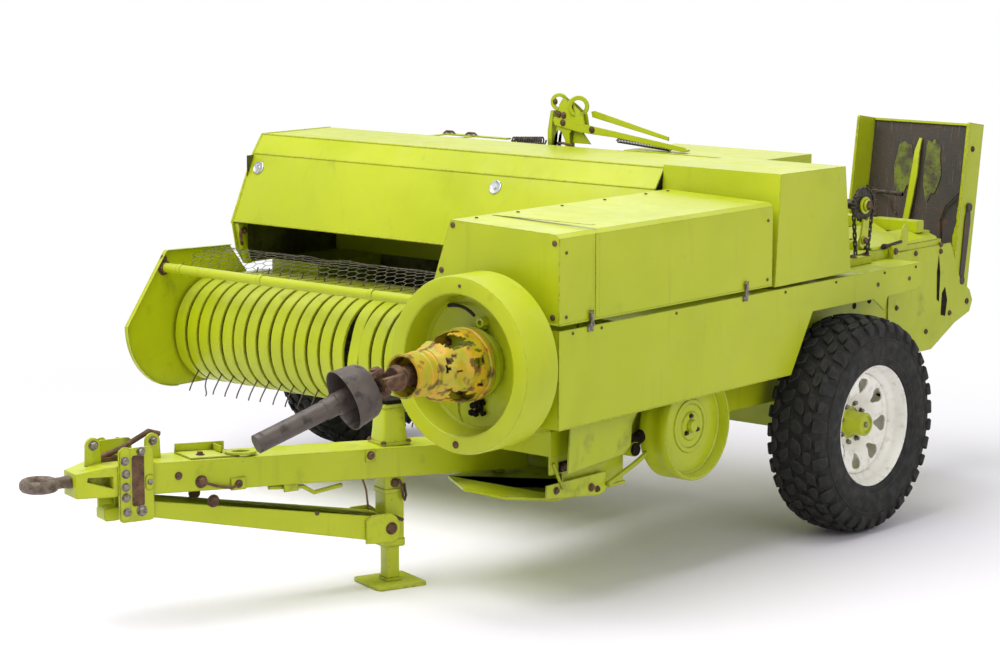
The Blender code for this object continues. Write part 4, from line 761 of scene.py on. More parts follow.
def buildFlywheel():
    place = facing(onMachine(0.770, -1.785, 0.782), (0, 1, 0))
    ahead = Vector((0, -1, 0))
    wheelShape = bmesh.new()
    R, lip, dish, deep = (flywheel[k] for k in ("radius", "lip", "dish", "depth"))
    profile = [(0, dish), (0.104, dish), (0.170, dish - 0.002), (lip - 0.016, dish - 0.006), (lip - 0.008, dish - 0.016), (lip - 0.004, dish - 0.040), (lip, 0.010),
               (lip + 0.002, 0.003), (lip + 0.006, 0.0005), (R - 0.010, 0.0005), (R - 0.003, 0.003), (R, 0.010), (R, deep - 0.006), (R - 0.006, deep),
               (R - 0.036, deep), (R - 0.044, deep - 0.006), (R - 0.050, dish + 0.030), (0.100, dish + 0.020), (0.060, dish + 0.020), (0.060, deep + 0.010),
               (0.030, deep + 0.010), (0.030, 0.250), (0, 0.250)]
    turnProfile(wheelShape, profile, place, 128, ring=False)
    piece = finishPiece("cast_flywheel", wheelShape, panelEnamel, "flywheel", smooth=28)
    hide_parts("flywheel")

    boss = bmesh.new()
    turnProfile(boss, [(0, 0.004), (0.056, 0.004), (0.060, 0.008), (0.062, 0.030), (0.100, 0.034), (0.108, 0.040), (0.110, 0.050), (0.110, 0.072), (0.102, 0.078),
                       (0.102, dish - 0.0005), (0, dish - 0.0005)], place, 64, ring=False)
    turnProfile(boss, [(0.1095, 0.044), (0.1135, 0.046), (0.1135, 0.052), (0.1095, 0.054)], place, 64)
    piece = finishPiece("clutch_boss", boss, castEnamel, "flywheel", smooth=32)
    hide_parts("flywheel_boss")

    def spot(radius, degrees, height):
        # clock angles as seen from the front, 0 at the top, turning to the machine's left
        angle = math.radians(degrees)
        return onMachine(0.770 + radius * math.sin(angle), -1.785 + height, 0.782 + radius * math.cos(angle))

    studs = bmesh.new()
    for number in range(6):
        addBolt(studs, spot(0.086, 60 * number + 14, 0.034), ahead, across=0.017, height=0.012, turn=number)
    addBolt(studs, spot(0.243, 182, 0.0005), ahead, across=0.015, height=0.006)
    addBolt(studs, spot(0.243, 2, 0.0005), ahead, across=0.010, height=0.003, washer=False)
    finishPiece("flywheel_bolts", studs, rustedForging, "flywheel")

    lugs = bmesh.new()
    lugPlace = facing(spot(0.128, 12, 0.070), (0, -1, 0))
    turnProfile(lugs, [(0.007, 0), (0.016, 0), (0.016, 0.030), (0.007, 0.030)], lugPlace @ Matrix.Translation((0, 0, -0.03)), 20)
    addBlock(lugs, (-0.010, -0.02, -0.03), (0.010, 0.0, -0.006), lugPlace)
    seam = [spot(radius, degrees, dish - 0.0075 + 0.002 * (radius < 0.2)) for radius, degrees in ((0.115, 216), (0.150, 212), (0.180, 206), (0.205, 196))]
    addTube(lugs, seam, 0.0022, 6)
    addTube(lugs, [spot(0.205, 196 - 6 * k, dish - 0.010) for k in range(9)], 0.0022, 6)
    finishPiece("flywheel_lug", lugs, frameEnamel, "flywheel", smooth=40)

    strip = bmesh.new()
    addTube(strip, [spot(0.196 - 0.008 * k, 326 + 6.5 * k, 0.085 - 0.004 * k) for k in range(7)], 0.0055, 8)
    turnProfile(strip, [(0.0, -0.002), (0.012, -0.002), (0.012, 0.002), (0, 0.002)], facing(spot(0.209, 100, 0.052), (-1, 0.1, 0)), 14, ring=False)
    finishPiece("flywheel_rubber_strip", strip, tyreRubber, "flywheel", smooth=40)

    dirt = bmesh.new()
    rng = random.Random(4)
    for _ in range(26):
        point = spot(0.140 + rng.uniform(-0.022, 0.022), 178 + rng.uniform(-9, 9), dish - rng.uniform(0.002, 0.020))
        lump = bmesh.ops.create_icosphere(dirt, subdivisions=1, radius=rng.uniform(0.006, 0.012))
        bmesh.ops.translate(dirt, verts=lump["verts"], vec=point)
    finishPiece("grease_clump", dirt, darkSteelAndShade, "flywheel", smooth=60)


def tornShell(bm, place, profile, thickness, tear, steps=120, rows=26):
    # a thin turned shell; tear(angle, share along) says where plastic has broken away, and a noise wave makes the
    # shell's radius uneven
    lengths = [0]
    for (r0, h0), (r1, h1) in zip(profile, profile[1:]):
        lengths.append(lengths[-1] + math.hypot(r1 - r0, h1 - h0))

    def along(t):
        want = t * lengths[-1]
        for i in range(len(profile) - 1):
            if want <= lengths[i + 1] + 1e-9:
                share = (want - lengths[i]) / (lengths[i + 1] - lengths[i])
                (r0, h0), (r1, h1) = profile[i], profile[i + 1]
                return r0 + (r1 - r0) * share, h0 + (h1 - h0) * share
        return profile[-1]

    outer, inner = {}, {}
    for row in range(rows + 1):
        r, h = along(row / rows)
        for i in range(steps):
            angle = 2 * math.pi * i / steps
            wave = noise.noise(Vector((math.cos(angle) * 3, math.sin(angle) * 3, row * 0.22))) * 0.006
            side = Vector((math.cos(angle), math.sin(angle), 0))
            outer[row, i] = place @ (side * (r + wave) + Vector((0, 0, h)))
            inner[row, i] = place @ (side * (r + wave - thickness) + Vector((0, 0, h)))
    kept = {(row, i) for row in range(rows) for i in range(steps) if not tear(2 * math.pi * (i + 0.5) / steps, (row + 0.5) / rows)}
    made = {}

    def vert(kind, row, i):
        key = (kind, row, i % steps)
        if key not in made:
            made[key] = bm.verts.new((outer if kind else inner)[row, i % steps])
        return made[key]

    for row, i in kept:
        for kind in (0, 1):
            corners = [vert(kind, row, i), vert(kind, row, i + 1), vert(kind, row + 1, i + 1), vert(kind, row + 1, i)]
            bm.faces.new(corners)
        for near, a, b in (((row - 1, i), (row, i), (row, i + 1)), ((row + 1, i), (row + 1, i), (row + 1, i + 1)),
                           ((row, (i - 1) % steps), (row, i), (row + 1, i)), ((row, (i + 1) % steps), (row, i + 1), (row + 1, i + 1))):
            if near not in kept:
                bm.faces.new((vert(1, *a), vert(1, *b), vert(0, *b), vert(0, *a)))


def buildDriveline():
    place = facing(onMachine(0.770, -1.785, 0.782), (0, -1, 0))  # local Z runs forwards
    cone = bmesh.new()
    shell = [(0.108, -0.050), (0.110, -0.010), (0.106, 0.035), (0.098, 0.080), (0.088, 0.112), (0.074, 0.140), (0.066, 0.150)]

    def tear(angle, along):
        ragged = noise.noise(Vector((math.cos(angle) * 2.1, math.sin(angle) * 2.1, along * 2.6 + 3.0)))
        fine = noise.noise(Vector((math.cos(angle) * 7, math.sin(angle) * 7, along * 8)))
        gone = ragged + 0.35 * fine
        band = 0.22 < along < 0.93
        return band and gone > -0.14 + abs(along - 0.58) * 0.75

    tornShell(cone, place, shell, 0.003, tear)
    turnProfile(cone, [(0.1085, -0.046), (0.1145, -0.042), (0.1145, -0.028), (0.1085, -0.024)], place, 64)
    finishCone = finishPiece("torn_guard_cone", cone, yellowGuard, "root", smooth=50)
    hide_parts("pto_guard_cone")

    collar = bmesh.new()
    turnProfile(collar, [(0.0630, 0.140), (0.0660, 0.140), (0.0690, 0.146), (0.0690, 0.156), (0.0655, 0.160), (0.0655, 0.172), (0.0690, 0.176),
                         (0.0690, 0.184), (0.0655, 0.188), (0.0650, 0.236), (0.0665, 0.238), (0.0665, 0.246), (0.0600, 0.246), (0.0600, 0.146)], place, 64)
    finishPiece("guard_collar", collar, yellowGuard, "root", smooth=30)

    yoke = bmesh.new()
    turnProfile(yoke, [(0, 0.002), (0.034, 0.002), (0.036, 0.030), (0.030, 0.038), (0.030, 0.050), (0, 0.050)], place, 32, ring=False)
    for sign in (-1, 1):
        cheek = [(0.030 * sign, 0.040), (0.046 * sign, 0.048), (0.050 * sign, 0.090), (0.042 * sign, 0.104), (0.028 * sign, 0.098), (0.024 * sign, 0.050)]
        pushOutline(yoke, cheek, place @ Matrix.Rotation(math.pi / 2, 4, "X") @ Matrix.Translation((0, 0, -0.022)), 0.044)
        other = [(0.026 * sign, 0.072), (0.044 * sign, 0.070), (0.048 * sign, 0.120), (0.038 * sign, 0.150), (0.024 * sign, 0.150), (0.022 * sign, 0.110)]
        pushOutline(yoke, other, place @ Matrix.Rotation(math.pi / 2, 4, "Z") @ Matrix.Rotation(math.pi / 2, 4, "X") @ Matrix.Translation((0, 0, -0.020)), 0.040)
    turnProfile(yoke, [(0, 0.140), (0.034, 0.140), (0.038, 0.150), (0.036, 0.200), (0.030, 0.206), (0.030, 0.252), (0, 0.252)], place, 32, ring=False)
    for way in ((1, 0, 0), (0, 1, 0)):
        addRod(yoke, place @ (Vector(way) * -0.052 + Vector((0, 0, 0.086))), place @ (Vector(way) * 0.052 + Vector((0, 0, 0.086))), 0.015, 20)
    piece = finishPiece("inner_universal_joint", yoke, rustedForging, "root", smooth=35, bevel=0.002)
    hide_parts("pto_inner_joint")

    joint, end = onMachine(0.760, -2.120, 0.775), onMachine(0.620, -2.490, 0.630)
    along = (end - joint).normalized()
    bell = facing(joint, along)
    outer = bmesh.new()
    neck = onMachine(0.770, -2.041, 0.782)
    back = facing(neck, joint - neck)
    turnProfile(outer, [(0, 0), (0.036, 0), (0.040, 0.010), (0.036, 0.030), (0, 0.030)], back, 28, ring=False)
    for sign in (-1, 1):
        ear = [(0.022 * sign, 0.016), (0.040 * sign, 0.012), (0.048 * sign, 0.070), (0.042 * sign, 0.094), (0.026 * sign, 0.094), (0.024 * sign, 0.050)]
        pushOutline(outer, ear, back @ Matrix.Rotation(math.pi / 2, 4, "X") @ Matrix.Translation((0, 0, -0.019)), 0.038)
        fork = [(0.024 * sign, 0.036), (0.038 * sign, 0.034), (0.046 * sign, -0.006), (0.040 * sign, -0.020), (0.026 * sign, -0.020), (0.023 * sign, 0.010)]
        pushOutline(outer, fork, bell @ Matrix.Rotation(math.pi / 2, 4, "Z") @ Matrix.Rotation(math.pi / 2, 4, "X") @ Matrix.Translation((0, 0, -0.017)), 0.034)
    addRod(outer, back @ Vector((-0.050, 0, 0.079)), back @ Vector((0.050, 0, 0.079)), 0.015, 20)
    addRod(outer, bell @ Vector((0, -0.048, 0)), bell @ Vector((0, 0.048, 0)), 0.014, 20)
    piece = finishPiece("outer_universal_joint", outer, rustedForging, "root", smooth=35, bevel=0.002)
    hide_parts("pto_outer_joint")

    guard = bmesh.new()
    turnProfile(guard, [(0.034, 0.034), (0.060, 0.034), (0.074, 0.038), (0.083, 0.052), (0.088, 0.080), (0.091, 0.112), (0.0935, 0.118), (0.0935, 0.125), (0.0905, 0.125),
                        (0.0880, 0.118), (0.0845, 0.082), (0.0790, 0.056), (0.0700, 0.044), (0.034, 0.040)], bell, 64)
    turnProfile(guard, [(0.030, 0.042), (0.048, 0.042), (0.050, 0.046), (0.050, 0.060), (0.047, 0.064), (0.030, 0.064)], bell, 40)
    piece = finishPiece("bell_guard", guard, brownGuard, "root", smooth=30)
    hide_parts("pto_bell_guard")

    tube = bmesh.new()
    length = (end - joint).length
    turnProfile(tube, [(0, 0.036), (0.034, 0.036), (0.034, 0.150), (0.031, 0.152), (0.031, 0.190), (0.0285, 0.194), (0.0285, length - 0.001), (0.026, length), (0, length)],
                bell, 40, ring=False)
    piece = finishPiece("driveline_tube", tube, brownGuard, "root", smooth=30)
    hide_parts("pto_tube")


print("flywheel and driveline")
buildFlywheel()
buildDriveline()


# Pickup


pickup = {
    "right": -1.412,
    "left": 0.306,
    "drum": (-0.700, 0.545),
    "bandRadius": 0.200,
    "bandWidth": 0.050,
    "bandPitch": 0.062,
    "bandMargin": 0.036,
    "bentBand": 14,
    "tineReach": 0.284,
    "barRadius": 0.145,
    "foldDegrees": 110,  # the cam folds the upper front bar's tines into the drum
    "netCell": 0.046,
}


def sweepSection(bm, line, section, middle, pose=None):
    # a thin section, (x, inward) in metres, swept along a line of (y, z) that curves round the middle
    rings = []
    for i, (y, z) in enumerate(line):
        (y0, z0), (y1, z1) = line[max(i - 1, 0)], line[min(i + 1, len(line) - 1)]
        inward = Vector((z1 - z0, y0 - y1)).normalized()
        if inward.dot(Vector((middle[0] - y, middle[1] - z))) < 0:
            inward.negate()
        shift = pose(i / (len(line) - 1)) if pose else (0, 0, 0)
        ring = []
        for x, deep in section:
            twist = x * shift[2]
            ring.append(bm.verts.new(onMachine(x + shift[0], y + inward.x * (deep + shift[1] + twist), z + inward.y * (deep + shift[1] + twist))))
        rings.append(ring)
    for here, there in zip(rings, rings[1:]):
        for k in range(len(section)):
            m = (k + 1) % len(section)
            bm.faces.new((here[k], here[m], there[m], there[k]))
    bm.faces.new(rings[0])
    bm.faces.new(rings[-1])


def bandLine():
    return [(-0.415, 0.735), (-0.520, 0.7387), (-0.620, 0.7422), *arcPoints(pickup["drum"], pickup["bandRadius"], 90, 270, 40),
            (-0.600, 0.3470), (-0.455, 0.3500)]


def buildBands():
    bm = bmesh.new()
    half = pickup["bandWidth"] / 2
    rng = random.Random(11)
    first = pickup["right"] + pickup["bandMargin"]
    for number in range(27):
        x = first + number * pickup["bandPitch"]
        section = [(x - half, 0.011), (x - half, 0.0025), (x - half + 0.0015, 0.0008), (x, 0.0), (x + half - 0.0015, 0.0008), (x + half, 0.0025),
                   (x + half, 0.011), (x + half - 0.002, 0.011), (x + half - 0.002, 0.0040), (x - half + 0.002, 0.0040), (x - half + 0.002, 0.011)]
        lean, dent = rng.uniform(-0.0015, 0.0015), rng.uniform(0, 0.0015)
        bent = number == pickup["bentBand"]

        def pose(t):
            push = math.exp(-((t - 0.42) / 0.13) ** 2)
            side = lean * math.sin(math.pi * t)
            return (side + 0.0045 * push, dent * math.sin(3 * math.pi * t) ** 2 + 0.016 * push, 0) if bent else (side, dent * math.sin(3 * math.pi * t) ** 2, 0)

        sweepSection(bm, bandLine(), section, pickup["drum"], pose)
    right, left = pickup["right"] + 0.0005, pickup["left"] - 0.0065
    for low, high in (((-0.440, 0.690), (-0.410, 0.7345)), ((-0.468, 0.344), (-0.452, 0.360))):
        addBlock(bm, (right, low[0], low[1]), (left, high[0], high[1]), machineFrame)
    piece = finishPiece("stripper_bands", bm, frameEnamel, "pickup", smooth=28)
    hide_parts("pickup_bands")

    # a curved sheet that closes the drum's back between the bands; its dark enamel paints the deep shade seen between
    # the bands
    back = bmesh.new()
    middle = pickup["drum"]
    line = list(arcPoints(middle, 0.2965, -36, 28, 14))
    sweepSection(back, line, [(right, 0.0), (left, 0.0), (left, 0.002), (right, 0.002)], middle)
    finishPiece("drum_back_sheet", back, darkShadeEnamel, "pickup", smooth=30)


def reelPoint(x, turn, radial, tangent):
    y = pickup["drum"][0] - radial * math.sin(turn) - tangent * math.cos(turn)
    z = pickup["drum"][1] + radial * math.cos(turn) - tangent * math.sin(turn)
    return onMachine(x, y, z)


def buildTineBars():
    rng = random.Random(7)
    right, left = pickup["right"] + 0.0165, pickup["left"] - 0.0225
    bar = pickup["barRadius"]
    for number in range(4):
        turn = math.radians(45 + 90 * number)
        fold = math.radians(pickup["foldDegrees"]) if number == 0 else 0.0
        rods, tines = bmesh.new(), bmesh.new()
        addRod(rods, reelPoint(right, turn, bar, 0), reelPoint(left, turn, bar, 0), 0.0125, 16)
        x = pickup["right"] + pickup["bandMargin"] + pickup["bandPitch"] / 2
        while x < left - 0.02:
            sweep = rng.uniform(-0.004, 0.006)
            hooked = rng.random() < 0.16
            path = []
            for i in range(25):
                angle = 2 * math.pi * 2.5 * i / 24
                path.append((x - 0.016 + 0.016 * i / 24, 0.017 + 0.008 * math.cos(angle + math.pi), 0.008 * math.sin(angle)))
            reach = pickup["tineReach"] - bar
            for share, back in ((0.28, 0.006), (0.45, 0.007), (0.62, 0.009), (0.80, 0.013), (0.92, 0.017), (1.0, 0.022)):
                extra = (0.030 if share > 0.9 else 0.010 if share > 0.7 else 0) if hooked else 0
                path.append((x + rng.uniform(-0.0006, 0.0006), reach * share * (0.97 if hooked else 1) - 0.003 * share, back + extra + sweep * share))
            points = []
            for px, out, back in path:
                out, back = out * math.cos(fold) - back * math.sin(fold), out * math.sin(fold) + back * math.cos(fold)
                points.append(reelPoint(px, turn, bar + out, back))
            addTube(tines, points, 0.0026, 5)
            addBlock(rods, (-0.010, -0.015, -0.015), (0.010, 0.015, 0.015), Matrix.Translation(reelPoint(x - 0.012, turn, bar, 0)))
            x += pickup["bandPitch"]
        piece = finishPiece(f"tine_tube_{number + 1}", rods, oiledSteel, "tine_reel", smooth=40)
        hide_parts(f"tine_bar_{number + 1}")
        finishPiece(f"spring_tines_{number + 1}", tines, rustedThinSteel, "tine_reel", smooth=50)


def plateOutline():
    nose = arcPoints((-0.885, 0.595), 0.250, 180, 270, 24)
    top = arcPoints((-0.925, 0.843), 0.016, 90, 148, 4)
    return [(-0.600, 0.848), *top, *nose, (-0.455, 0.342), (-0.436, 0.346), (-0.400, 0.400), (-0.400, 0.600)]


def buildPickupPlates():
    outline = plateOutline()
    for side, x, way in (("right", pickup["right"], 1), ("left", pickup["left"] - 0.006, -1)):
        bm = bmesh.new()
        toX = machineFrame @ Matrix(((0, 0, 1, x - 0.006 if way > 0 else x), (1, 0, 0, 0), (0, 1, 0, 0), (0, 0, 0, 1)))
        pushOutline(bm, outline, toX, 0.006)
        face = x if way > 0 else x
        lip = outline[:-4]
        inner = [((-0.70 - y) * 0.006 + y, (0.60 - z) * 0.008 + z) for y, z in lip]
        depth = 0.012
        start = face if way > 0 else face - depth
        toLip = machineFrame @ Matrix(((0, 0, 1, start), (1, 0, 0, 0), (0, 1, 0, 0), (0, 0, 0, 1)))
        pushOutline(bm, lip + inner[::-1], toLip, depth)
        plate = finishPiece(f"{side}_pickup_plate", bm, frameEnamel, "pickup", smooth=25, bevel=0.0012)
        bore = bmesh.new()
        drumY, drumZ = pickup["drum"]
        addRod(bore, onMachine(x - 0.04, drumY, drumZ), onMachine(x + 0.04, drumY, drumZ), 0.0235, 24)
        cutAway(plate, bore)
        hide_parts(f"pickup_{side}_plate")
    bar = bmesh.new()
    addTube(bar, [onMachine(pickup["right"] + 0.0005 + 1.7105 * t, -0.942, 0.796 - 0.003 * math.sin(math.pi * t)) for t in (0, 0.1, 0.25, 0.5, 0.75, 0.9, 1)], 0.018, 28)
    for t in (0.055, 0.30, 0.62, 0.86):
        centre = onMachine(pickup["right"] + 1.7 * t, -0.942, 0.796)
        turnProfile(bar, [(0.0172, -0.011), (0.0192, -0.010), (0.0192, 0.010), (0.0172, 0.011)], facing(centre, (1, 0, 0)), 28)
    piece = finishPiece("crop_roller_bar", bar, frameEnamel, "pickup", smooth=35)
    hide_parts("pickup_front_bar")
    nuts = bmesh.new()
    addBolt(nuts, onMachine(pickup["right"] + 0.0005, -0.942, 0.829), (1, 0, 0), 0.020, 0.012)
    turnProfile(nuts, [(0.0182, 0), (0.029, 0), (0.029, 0.004), (0.0182, 0.004)], facing(onMachine(pickup["right"] + 0.0002, -0.942, 0.796), (1, 0, 0)), 28)
    turnProfile(nuts, [(0.0182, 0.004), (0.025, 0.004), (0.025, 0.016), (0.0182, 0.016)], facing(onMachine(pickup["right"] + 0.0002, -0.942, 0.796), (1, 0, 0)), 6)
    for x in (pickup["right"], pickup["left"]):
        for y, z in ((-0.62, 0.60), (-0.50, 0.66), (-0.50, 0.42), (-0.942, 0.796)):
            addBolt(nuts, onMachine(x, y, z), (1, 0, 0), 0.019, 0.009)
    finishPiece("pickup_bolts", nuts, rustedForging, "pickup")


def buildNetting():
    # hexagonal wire netting from the front bar over the drum: it bows up, clear of the tines
    bm = bmesh.new()
    cell = pickup["netCell"]
    across, along = cell, cell * 0.62
    made = set()
    rows = int(0.30 / along)

    def lift(x, y):
        drumY, drumZ = pickup["drum"]
        arch = drumZ + math.sqrt(max(0.2975 ** 2 - (y - drumY) ** 2, 0))
        crumple = 0.007 * (1 + noise.noise(Vector((x * 9, y * 9, 0))))
        return max(arch, 0.790) + crumple

    def wire(a, b):
        key = tuple(sorted((tuple(round(v, 3) for v in a), tuple(round(v, 3) for v in b))))
        if key not in made:
            made.add(key)
            addTube(bm, [onMachine(x, y, lift(x, y)) for x, y in (a, b)], 0.0011, 4)

    for row in range(rows):
        y = -0.925 + row * along
        offset = 0.5 * across if row % 2 else 0
        x = pickup["right"] + 0.02 + offset
        while x < pickup["left"] - 0.075:
            a, b, c = (x, y), (x + across * 0.5, y - along * 0.32), (x + across, y)
            wire(a, b)
            wire(b, c)
            wire(a, (x, y + along * 0.68))
            x += across
    finishPiece("wire_netting", bm, zincPlate, "pickup", smooth=60)


print("pickup")
buildBands()
buildTineBars()
buildPickupPlates()
buildNetting()


# Covers: seams, latches and bolts on the painted housings


def alongX(x):
    # a place whose local X-Y plane is the machine's Y-Z plane at this x
    return machineFrame @ Matrix(((0, 0, 1, x), (1, 0, 0, 0), (0, 1, 0, 0), (0, 0, 0, 1)))


def alongY(y):
    # a place whose local X-Y plane is the machine's X-Z plane at this y, with local Z forwards
    return machineFrame @ Matrix(((1, 0, 0, 0), (0, 0, -1, y), (0, 1, 0, 0), (0, 0, 0, 1)))


def addLatch(bm, y, z):
    # an over-centre toggle latch on the side face
    pushOutline(bm, [(y - 0.013, z - 0.030), (y + 0.013, z - 0.030), (y + 0.013, z - 0.008), (y - 0.013, z - 0.008)], alongX(1.0005), 0.004)
    pushOutline(bm, [(y - 0.009, z - 0.014), (y + 0.009, z - 0.014), (y + 0.006, z + 0.026), (y - 0.006, z + 0.026)], alongX(1.0045), 0.006)
    addRod(bm, onMachine(1.006, y - 0.014, z - 0.010), onMachine(1.006, y + 0.014, z - 0.010), 0.004, 10)
    addTube(bm, [onMachine(1.006, y - 0.008, z + 0.020), onMachine(1.007, y - 0.008, z + 0.034), onMachine(1.007, y + 0.008, z + 0.034),
                 onMachine(1.006, y + 0.008, z + 0.020)], 0.0022, 6)


def buildCovers():
    lidBolts, lidSeams, rootSeams, discs = bmesh.new(), bmesh.new(), bmesh.new(), bmesh.new()
    front, rear = -1.585, -0.478
    for x, z in ((0.577, 1.174), (0.982, 1.150), (0.975, 0.925), (0.530, 1.030)):
        addBolt(lidBolts, onMachine(x, front, z), (0, -1, 0), 0.012, 0.004, turn=x)
    for y in (-1.50, -1.30, -1.08, -0.86, -0.64, -0.52):
        addBolt(lidBolts, onMachine(0.600, y, 1.1895), (0, 0, 1), 0.010, 0.003, washer=False)
    for y, z in ((-1.552, 0.925), (-1.552, 1.120), (-0.505, 0.925), (-0.505, 1.120)):
        addBolt(lidBolts, onMachine(1.0, y, z), (1, 0, 0), 0.010, 0.003, washer=False)
    finishPiece("side_cover_bolts", lidBolts, rustedForging, "side_cover")

    # a seam strip round the lid, a folded front edge and a rolled lower hem
    for low, high in (((-1.412, 0.902), (-1.392, 1.1645)),):
        pushOutline(lidSeams, [low, (high[0], low[1]), high, (low[0], high[1])], alongX(1.0003), 0.0016)
    addTube(lidSeams, [onMachine(1.0, y, 0.9035) for y in (front + 0.002, -1.3, -1.0, -0.7, rear - 0.002)], 0.0032, 10)
    addTube(lidSeams, [onMachine(x, front, 0.9035) for x in (0.515, 0.7, 0.9, 1.0)], 0.0032, 10)
    addBlock(lidSeams, (0.590, -1.414, 1.1896), (0.985, -1.394, 1.1912), machineFrame @ Matrix.Rotation(0, 4, "X"))
    addTube(lidSeams, [onMachine(0.9985, front + 0.0015, z) for z in (0.905, 1.0, 1.163)], 0.0028, 8)
    piece = finishPiece("side_cover_seams", lidSeams, panelEnamel, "side_cover", smooth=40)

    for y, z in ((-1.437, 0.9125), (-0.630, 0.9125)):
        addLatch(rootSeams, y, z - 0.014)
    finishPiece("toggle_latches", rootSeams, zincPlate, "root", smooth=35)

    trims = bmesh.new()
    addTube(trims, [onMachine(0.9985, y, 0.5825 + 0.0065 * (y + 1.585)) for y in (-1.583, -1.2, -0.8, -0.36)], 0.0030, 8)
    for line in ([(HX, -0.4795, 1.186) for HX in (-1.394, -0.9, -0.4, 0.1, 0.515)], [(HX, -0.4295, 1.2555) for HX in (-1.394, -0.9, -0.4, 0.1, 0.515)],
                 [(HX, -0.5950, 0.9375) for HX in (-1.394, -0.9, -0.4, 0.1, 0.515)]):
        addTube(trims, [onMachine(*p) for p in line], 0.0034, 8)
    addTube(trims, [onMachine(-1.4005, y, z) for y, z in ((-0.600, 0.930), (-0.480, 1.185), (-0.430, 1.255), (-0.055, 1.255), (-0.011, 0.937))], 0.0036, 8)
    # the flanged post that closes the far side of the feeder's mouth, with its hook
    post = [(-0.590, 0.930), (-0.572, 0.845), (-0.545, 0.772), (-0.520, 0.772), (-0.548, 0.848), (-0.566, 0.930)]
    pushOutline(trims, post, alongX(-1.3935), 0.022)
    finishPiece("folded_seams", trims, panelEnamel, "root", smooth=40)

    hook = bmesh.new()
    addTube(hook, [onMachine(-1.372, -0.575, 0.905), onMachine(-1.360, -0.592, 0.895), onMachine(-1.356, -0.592, 0.865), onMachine(-1.364, -0.580, 0.850)], 0.006, 10)
    addBolt(hook, onMachine(-1.3715, -0.560, 0.900), (1, 0, 0), 0.018, 0.010)
    for y in (-1.52, -1.38, -1.0, -0.62, -0.40, -0.10, 0.20, 0.40):
        addBolt(hook, onMachine(1.0, y, 0.872), (1, 0, 0), 0.009, 0.003, washer=False, turn=y)
    for y in (0.16, 0.36):
        addBolt(hook, onMachine(1.0, y, 0.835), (1, 0, 0), 0.010, 0.004, turn=y)
    finishPiece("housing_bolts", hook, rustedForging, "root", smooth=35)

    # two pressed discs that cover unused holes
    slope = Vector((0, -0.907, 0.421))
    for x, y, z in ((-1.347, -0.5035, 1.1355), (-0.175, -0.4990, 1.1446)):
        dish = [(0, 0), (0.026, 0), (0.0255, 0.0030), (0.0225, 0.0040), (0.020, 0.0026), (0.008, 0.0026), (0.006, 0.0048), (0, 0.0048)]
        turnProfile(discs, dish, facing(onMachine(x, y, z), slope), 40, ring=False)
    finishPiece("cover_discs", discs, aluminiumDisc, "root", smooth=30)

    # dark lining inside the feeder's mouth and on its floor, back and far side: its dark enamel is painted shade for
    # the inside of the tunnel
    lining = bmesh.new()
    inside = [(-0.590, 0.941), (-0.4765, 1.1790), (-0.4275, 1.2480), (-0.0585, 1.2480), (-0.0180, 0.9400)]
    outside = [(y + 0.002 * (1 if y < -0.2 else -1), z - 0.002) for y, z in inside]
    pushOutline(lining, inside + outside[::-1], alongX(-1.3930), 1.9080)
    addBlock(lining, (-1.393, -0.0325, 0.776), (0.372, -0.0305, 0.936), machineFrame)
    addBlock(lining, (-1.150, -0.385, 0.5450), (0.372, -0.040, 0.5465), machineFrame)
    addBlock(lining, (-1.3935, -0.520, 0.777), (-1.3920, -0.035, 1.180), machineFrame)
    addBlock(lining, (-1.150, -0.0365, 0.547), (0.372, -0.0350, 0.776), machineFrame)
    finishPiece("feeder_lining_in_painted_shade", lining, darkShadeEnamel, "root")


print("covers")
buildCovers()


# Drawbar, hitch and jack


drawbar = {"front": 1.336, "side": 0.075, "halfHeight": 0.0475, "pivotZ": 0.388, "rise": 0.047, "jack": 0.405}


def beamTop(forward):
    return drawbar["pivotZ"] + drawbar["rise"] * forward + drawbar["halfHeight"]


def barSide(x):
    # a place whose local X runs forwards, local Y up and local Z to the drawbar's left
    return drawbarFrame @ Matrix(((0, 0, 1, x), (-1, 0, 0, 0), (0, 1, 0, 0), (0, 0, 0, 1)))


def roundedBox(low, high, radius, steps=4):
    (x0, y0), (x1, y1) = low, high
    corners = ((x1 - radius, y1 - radius, 0), (x0 + radius, y1 - radius, 90), (x0 + radius, y0 + radius, 180), (x1 - radius, y0 + radius, 270))
    return [p for x, y, start in corners for p in arcPoints((x, y), radius, start, start + 90, steps)]


def barDirection(x, forward, z):
    return drawbarFrame.to_3x3() @ Vector((x, -forward, z))


